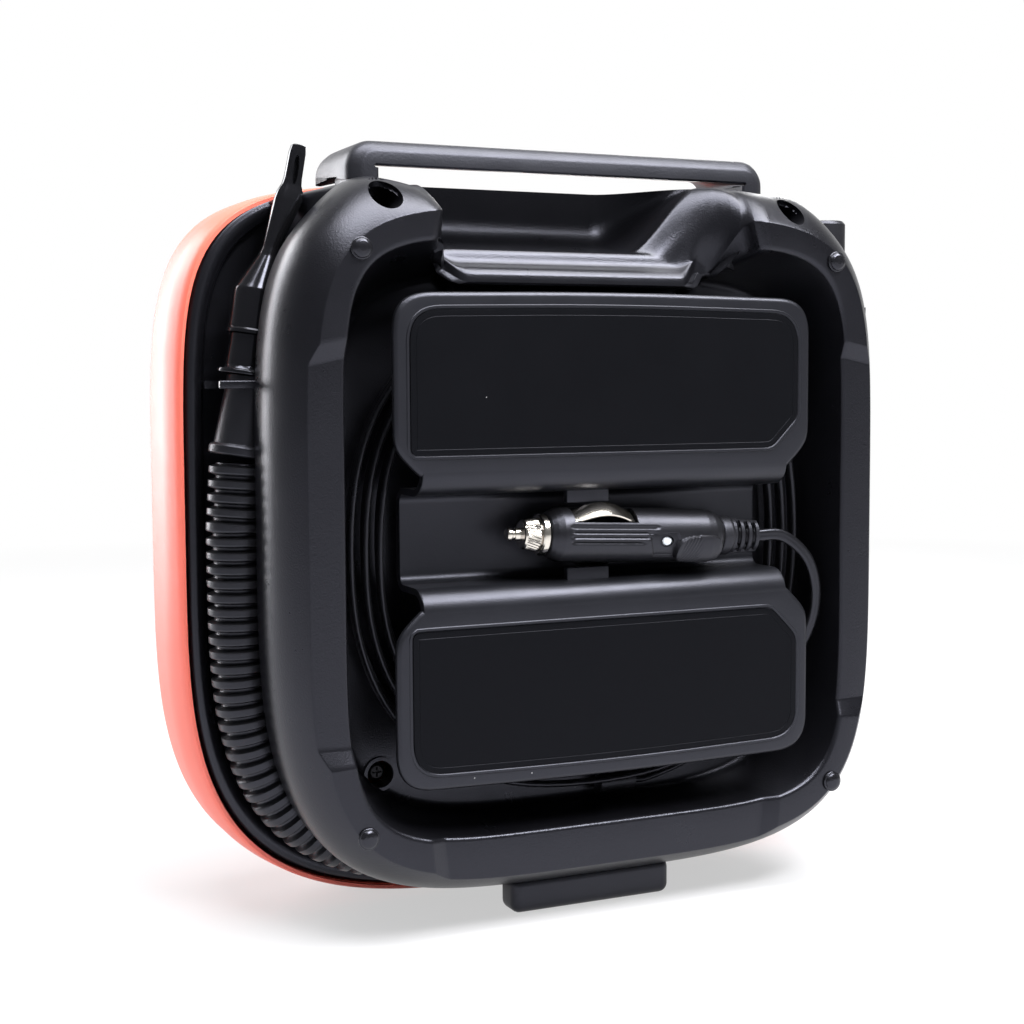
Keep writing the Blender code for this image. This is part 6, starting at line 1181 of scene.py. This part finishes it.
def softened(name, node, edge, flat=2.0):
    """A copy of a CAD node with its doubled points merged and its edges rounded as a mould leaves them."""
    mesh = nodes[node].data.copy()
    mesh.transform(nodes[node].matrix_world)
    made = finished(name, mesh)
    work = bmesh.new()
    work.from_mesh(mesh)
    bmesh.ops.dissolve_limit(work, angle_limit=math.radians(flat), verts=work.verts, edges=work.edges)
    work.to_mesh(mesh)
    work.free()
    if "custom_normal" in mesh.attributes:
        mesh.attributes.remove(mesh.attributes["custom_normal"])
    rounding = made.modifiers.new("rounding", "BEVEL")
    rounding.width = edge * MM
    rounding.segments = 3
    rounding.limit_method = "ANGLE"
    rounding.angle_limit = math.radians(35)
    return applied(made)


treads = [block("tread", (TREAD_X[0], TREAD_Y[0], z), (TREAD_X[1], TREAD_Y[1], z + TREAD_TALL), 0.2, 2)
          for z in np.arange(*TREAD_Z, TREAD_STEP)]
lever = joined("thumb_lever", softened("thumb_lever", "chuck_lever", 0.45), *treads)
lever_grey = plastic("lever_grey", (0.03, 0.031, 0.034), 0.36, grain=1500)
dress(lever, lever_grey, "black_plastic", "chuck_lever", "chuck_lever")

gland = softened("cord_gland_boot", "cord_gland", 0.5, 8)
dress(gland, relief_black, "black_rubber", "case", "cord_gland")


# Control panel: the black plate that fills the orange shell's opening, with a bead round its edge, a raised
# bezel round the display window and a ring round each button. Posts behind it carry the board.
PANEL_Y, BUTTON_Z, KNOB_Z, BUTTONS_X = -60, 165, 105, (-32, 0, 32)
PANEL_GAP, CUT_FRONT, CUT_BACK, HUB_HOLE, BUTTON_HOLE = 0.3, -64, -54, 4.4, 8.4
WINDOW_HALF, WINDOW_LOW, WINDOW_HIGH, WINDOW_GAP = 35, 191, 219, 0.3
BUTTON_RING = [(8.5, -0.4), (8.5, 0.4), (8.8, 0.6), (9.5, 0.6), (9.8, 0.3), (9.8, -0.4)]


def along_minus_y(x, y, z):
    """Turned heights towards the front from a point."""
    return on_axes((x, y, z), (1, 0, 0), (0, 0, 1), (0, -1, 0))


def frame_bar(name, half_wide, half_high, middle, wide, rise, corner):
    """A raised bead that follows a rounded oblong on the panel."""
    keys = [(x * half_wide, z * half_high) for x, z in ((1, 1), (-1, 1), (-1, -1), (1, -1))]
    loop = facing(rounded_loop(keys, [corner] * 4), (0, 0), 240)
    steps = ((0, -0.4), (0, rise * 0.6), (-0.3, rise), (0.3 - wide, rise), (-wide, rise * 0.6), (-wide, -0.4))
    rings = ((shrunk(loop, by), PANEL_Y - height) for by, height in steps)
    return skin(name, [points(ring[:, 0], y, middle + ring[:, 1]) for ring, y in rings], ring=True)


fit = inset(opening, PANEL_GAP)
panel = skin("panel_plate", [ring_row(inset(fit, by), y) for by, y in (
    (0, -57.5), (0, -59.4), (0.6, PANEL_Y), (3.4, PANEL_Y), (3.8, -59.5), (4.6, -59.5), (5, PANEL_Y))])
carved(panel, block("window", (-WINDOW_HALF - WINDOW_GAP, CUT_FRONT, WINDOW_LOW - WINDOW_GAP),
                    (WINDOW_HALF + WINDOW_GAP, CUT_BACK, WINDOW_HIGH + WINDOW_GAP), 0),
       rod("hub_hole", (0, KNOB_Z), HUB_HOLE, CUT_FRONT, CUT_BACK),
       *[rod("button_hole", (x, BUTTON_Z), BUTTON_HOLE, CUT_FRONT, CUT_BACK) for x in BUTTONS_X])
bezel = frame_bar("bezel", 35.4, 14.4, 205, 2.4, 0.8, 2)
surround = frame_bar("button_field", 48, 14, BUTTON_Z, 0.9, 0.35, 12)
rings = [turned("button_ring", BUTTON_RING, along_minus_y(x, PANEL_Y, BUTTON_Z), 64, ring=True)
         for x in BUTTONS_X]
posts = [rod("post", (x, z), 3, -58, -50.9, 24) for x in (-53, 53) for z in (148, 222)]
panel = joined("control_panel_moulding", panel, bezel, surround, *rings, *posts)
panel_black = plastic("panel_black", (0.011, 0.011, 0.0125), 0.44, grain=1800, depth=0.2, tone=0.3)
dress(panel, panel_black, "black_plastic", "case", "control_panel")

window = block("display_window", (-WINDOW_HALF, PANEL_Y, WINDOW_LOW), (WINDOW_HALF, -57.5, WINDOW_HIGH), 0.5)
smoked = plastic("smoked_window", (0.006, 0.007, 0.009), 0.07, grain=300, depth=0.01, tone=0.2, polish=0.04,
                 dust=0.004, Coat_Weight=0.5)
dress(window, smoked, "display", "case", "display_lens")


# Buttons and mode knob: three dished caps with a generic mark each, and a flat dial with a fluted edge, a
# finger dimple and a pointer. The marks are printed proud; five dots on the panel show the dial's places.
CAP = [(0.05, -7.9), (3, -7.9), (3, -4.1), (9.5, -4.1), (9.5, -2.8), (8, -2.8), (8, 1.1), (7.5, 1.6),
       (6.9, 1.55), (5, 1.25), (0.05, 1.1)]
MARK_Y, MARK_PROUD, MARK_SUNK = PANEL_Y - 1.2, 0.16, 0.2
# The dial's edge: radius, height and the share of the flutes cut into it.
DIAL = ((0.05, -6, 0), (4, -6, 0), (4, 0.35, 0), (17.3, 0.35, 0), (17.8, 0.6, 1), (18, 1, 1), (18, 1.8, 1),
        (17.6, 2.3, 1), (17, 2.5, 0.4))
DIAL_TOP, DIAL_FACE, DIAL_DISH, DIMPLE_DEEP, DIMPLE_Z, DIAL_FLUTES = 2.5, 16.4, 0.35, 1.1, -8.6, 18
DOT, DOT_REACH = [(0.05, -0.2), (0.9, -0.2), (0.9, 0.1), (0.7, 0.18), (0.05, 0.2)], 22


def printed_arc(x, reach, wide, start, end):
    """A printed arc on a cap, flat topped."""
    edge = [(-wide / 2, -MARK_SUNK), (-wide / 2, MARK_PROUD), (wide / 2, MARK_PROUD), (wide / 2, -MARK_SUNK)]
    rows = [[(x + (reach + u) * math.cos(a), MARK_Y - h, BUTTON_Z + (reach + u) * math.sin(a))
             for u, h in edge] for a in np.radians(np.linspace(start, end, 40))]
    return skin("arc", rows)


def printed_bar(x, half, low, high, proud=MARK_PROUD):
    """A printed bar on a cap."""
    low_corner = (x - half, MARK_Y - proud, BUTTON_Z + low)
    high_corner = (x + half, MARK_Y + MARK_SUNK, BUTTON_Z + high)
    return block("bar", low_corner, high_corner, 0.05, 1)


button_black = plastic("button_black", (0.02, 0.02, 0.022), 0.42, grain=1700, depth=0.16)
print_white = plastic("print_white", (0.62, 0.62, 0.63), 0.5, grain=1500, depth=0.08, tone=0.15, dust=0.006)
marks = {"power_button": lambda x: (printed_arc(x, 3, 0.7, 122, 418), printed_bar(x, 0.35, 0.6, 4)),
         "minus_button": lambda x: (printed_bar(x, 3.2, -0.45, 0.45),),
         "plus_button": lambda x: (printed_bar(x, 3.2, -0.45, 0.45), printed_bar(x, 0.45, -3.2, 3.2, 0.17))}
for name, x in (("power_button", 0), ("minus_button", -32), ("plus_button", 32)):
    cap = turned(name + "_cap", CAP, along_minus_y(x, PANEL_Y, BUTTON_Z), 64, 0.25)
    dress(cap, button_black, "black_plastic", name, name)
    dress(joined(name + "_mark", *marks[name](x)), print_white, "white_nylon", name)

spin = full_turn(192)
flutes = 0.45 * np.abs(np.sin(spin * DIAL_FLUTES)) ** 0.7
rows = [points((r - flutes * cut) * np.cos(spin), (r - flutes * cut) * np.sin(spin), height)
        for r, height, cut in DIAL]
for r in np.concatenate([np.linspace(DIAL_FACE, 2, 34), [0.05]]):
    x, z = r * np.cos(spin), r * np.sin(spin)
    dimple = eased_share((5.6 - np.hypot(x, z - DIMPLE_Z)) / 3.4)
    dished = DIAL_DISH * eased_share((DIAL_FACE - r) / 1.2)
    rows.append(points(x, z, DIAL_TOP - dished - DIMPLE_DEEP * dimple))
dial = skin("mode_dial", [along_minus_y(0, PANEL_Y, KNOB_Z)(row) for row in rows], sharp=50)
dress(dial, button_black, "black_plastic", "mode_knob", "mode_knob")
pointer = block("dial_pointer", (-0.55, PANEL_Y - 2.32, KNOB_Z + 9.5), (0.55, PANEL_Y - 2, KNOB_Z + 15.4),
                0.08, 2)
dress(pointer, print_white, "white_nylon", "mode_knob")
dot = turned("dot", DOT, along_minus_y(0, 0, 0), 20)
dots = set_fittings("dial_dots", dot, [(DOT_REACH * math.sin(a), PANEL_Y, KNOB_Z + DOT_REACH * math.cos(a))
                                       for a in np.radians((-45, -22.5, 0, 22.5, 45))], print_white)
dress(dots, print_white, "white_nylon", "case")


# Works inside: the compressor, the blower and the electronics keep their CAD shapes and get their own
# finishes: die-cast alloy, turned steel, nylon gears, a lacquered board and a smoked display.
TRACKS = {"Scale": 160.0, "Mortar Size": 0.06, "Brick Width": 0.9, "Row Height": 0.35}


def refinish(finish, *names):
    for name in names:
        for place in nodes[name].material_slots:
            place.material = finish


def lacquered_board(name):
    """Green lacquer over copper tracks that run square across the board."""
    made = plastic(name, (0.012, 0.09, 0.035), 0.34, grain=900, depth=0.05, dust=0.0)
    tree = made.node_tree
    lacquer = [node for node in tree.nodes if node.type == "GROUP"][0].outputs["Colour"]
    spots = tree.nodes.new("ShaderNodeTexCoord").outputs["Object"]
    upright = add_node(tree, "ShaderNodeMapping",
                       {"Vector": spots, "Rotation": (math.pi / 2, 0, 0)})["Vector"]
    tracks = add_node(tree, "ShaderNodeTexBrick", {"Vector": upright, **TRACKS})["Fac"]
    colour = mixed_colour(tree, tracks, lacquer, (0.05, 0.2, 0.07, 1))
    feed(tree, tree.nodes["Principled BSDF"].inputs["Base Color"], colour)
    return made


refinish(plated("cast_alloy", (0.5, 0.5, 0.51), 0.48, 500, 0.2),
         "compressor_frame", "cylinder", "cylinder_head", "piston_rod")
refinish(plated("turned_steel", (0.42, 0.42, 0.44), 0.3, 1500, 0.08),
         "motor", "drive_pinion", "blower_motor", "chuck_pin")
refinish(plastic("white_nylon", (0.72, 0.71, 0.66), 0.5, grain=1200, depth=0.08, dust=0.0),
         "crank_gear", "impeller")
refinish(lacquered_board("board_lacquer"), "control_board")
refinish(smoked, "display_module", "plug_fuse")
refinish(plastic("blower_black", (0.012, 0.012, 0.013), 0.5, grain=1500, depth=0.15), "blower_housing")
refinish(plastic("inner_rubber", (0.012, 0.012, 0.012), 0.6, grain=1300, depth=0.2),
         "outlet_tube", "chuck_seal")


bpy.context.view_layer.update()
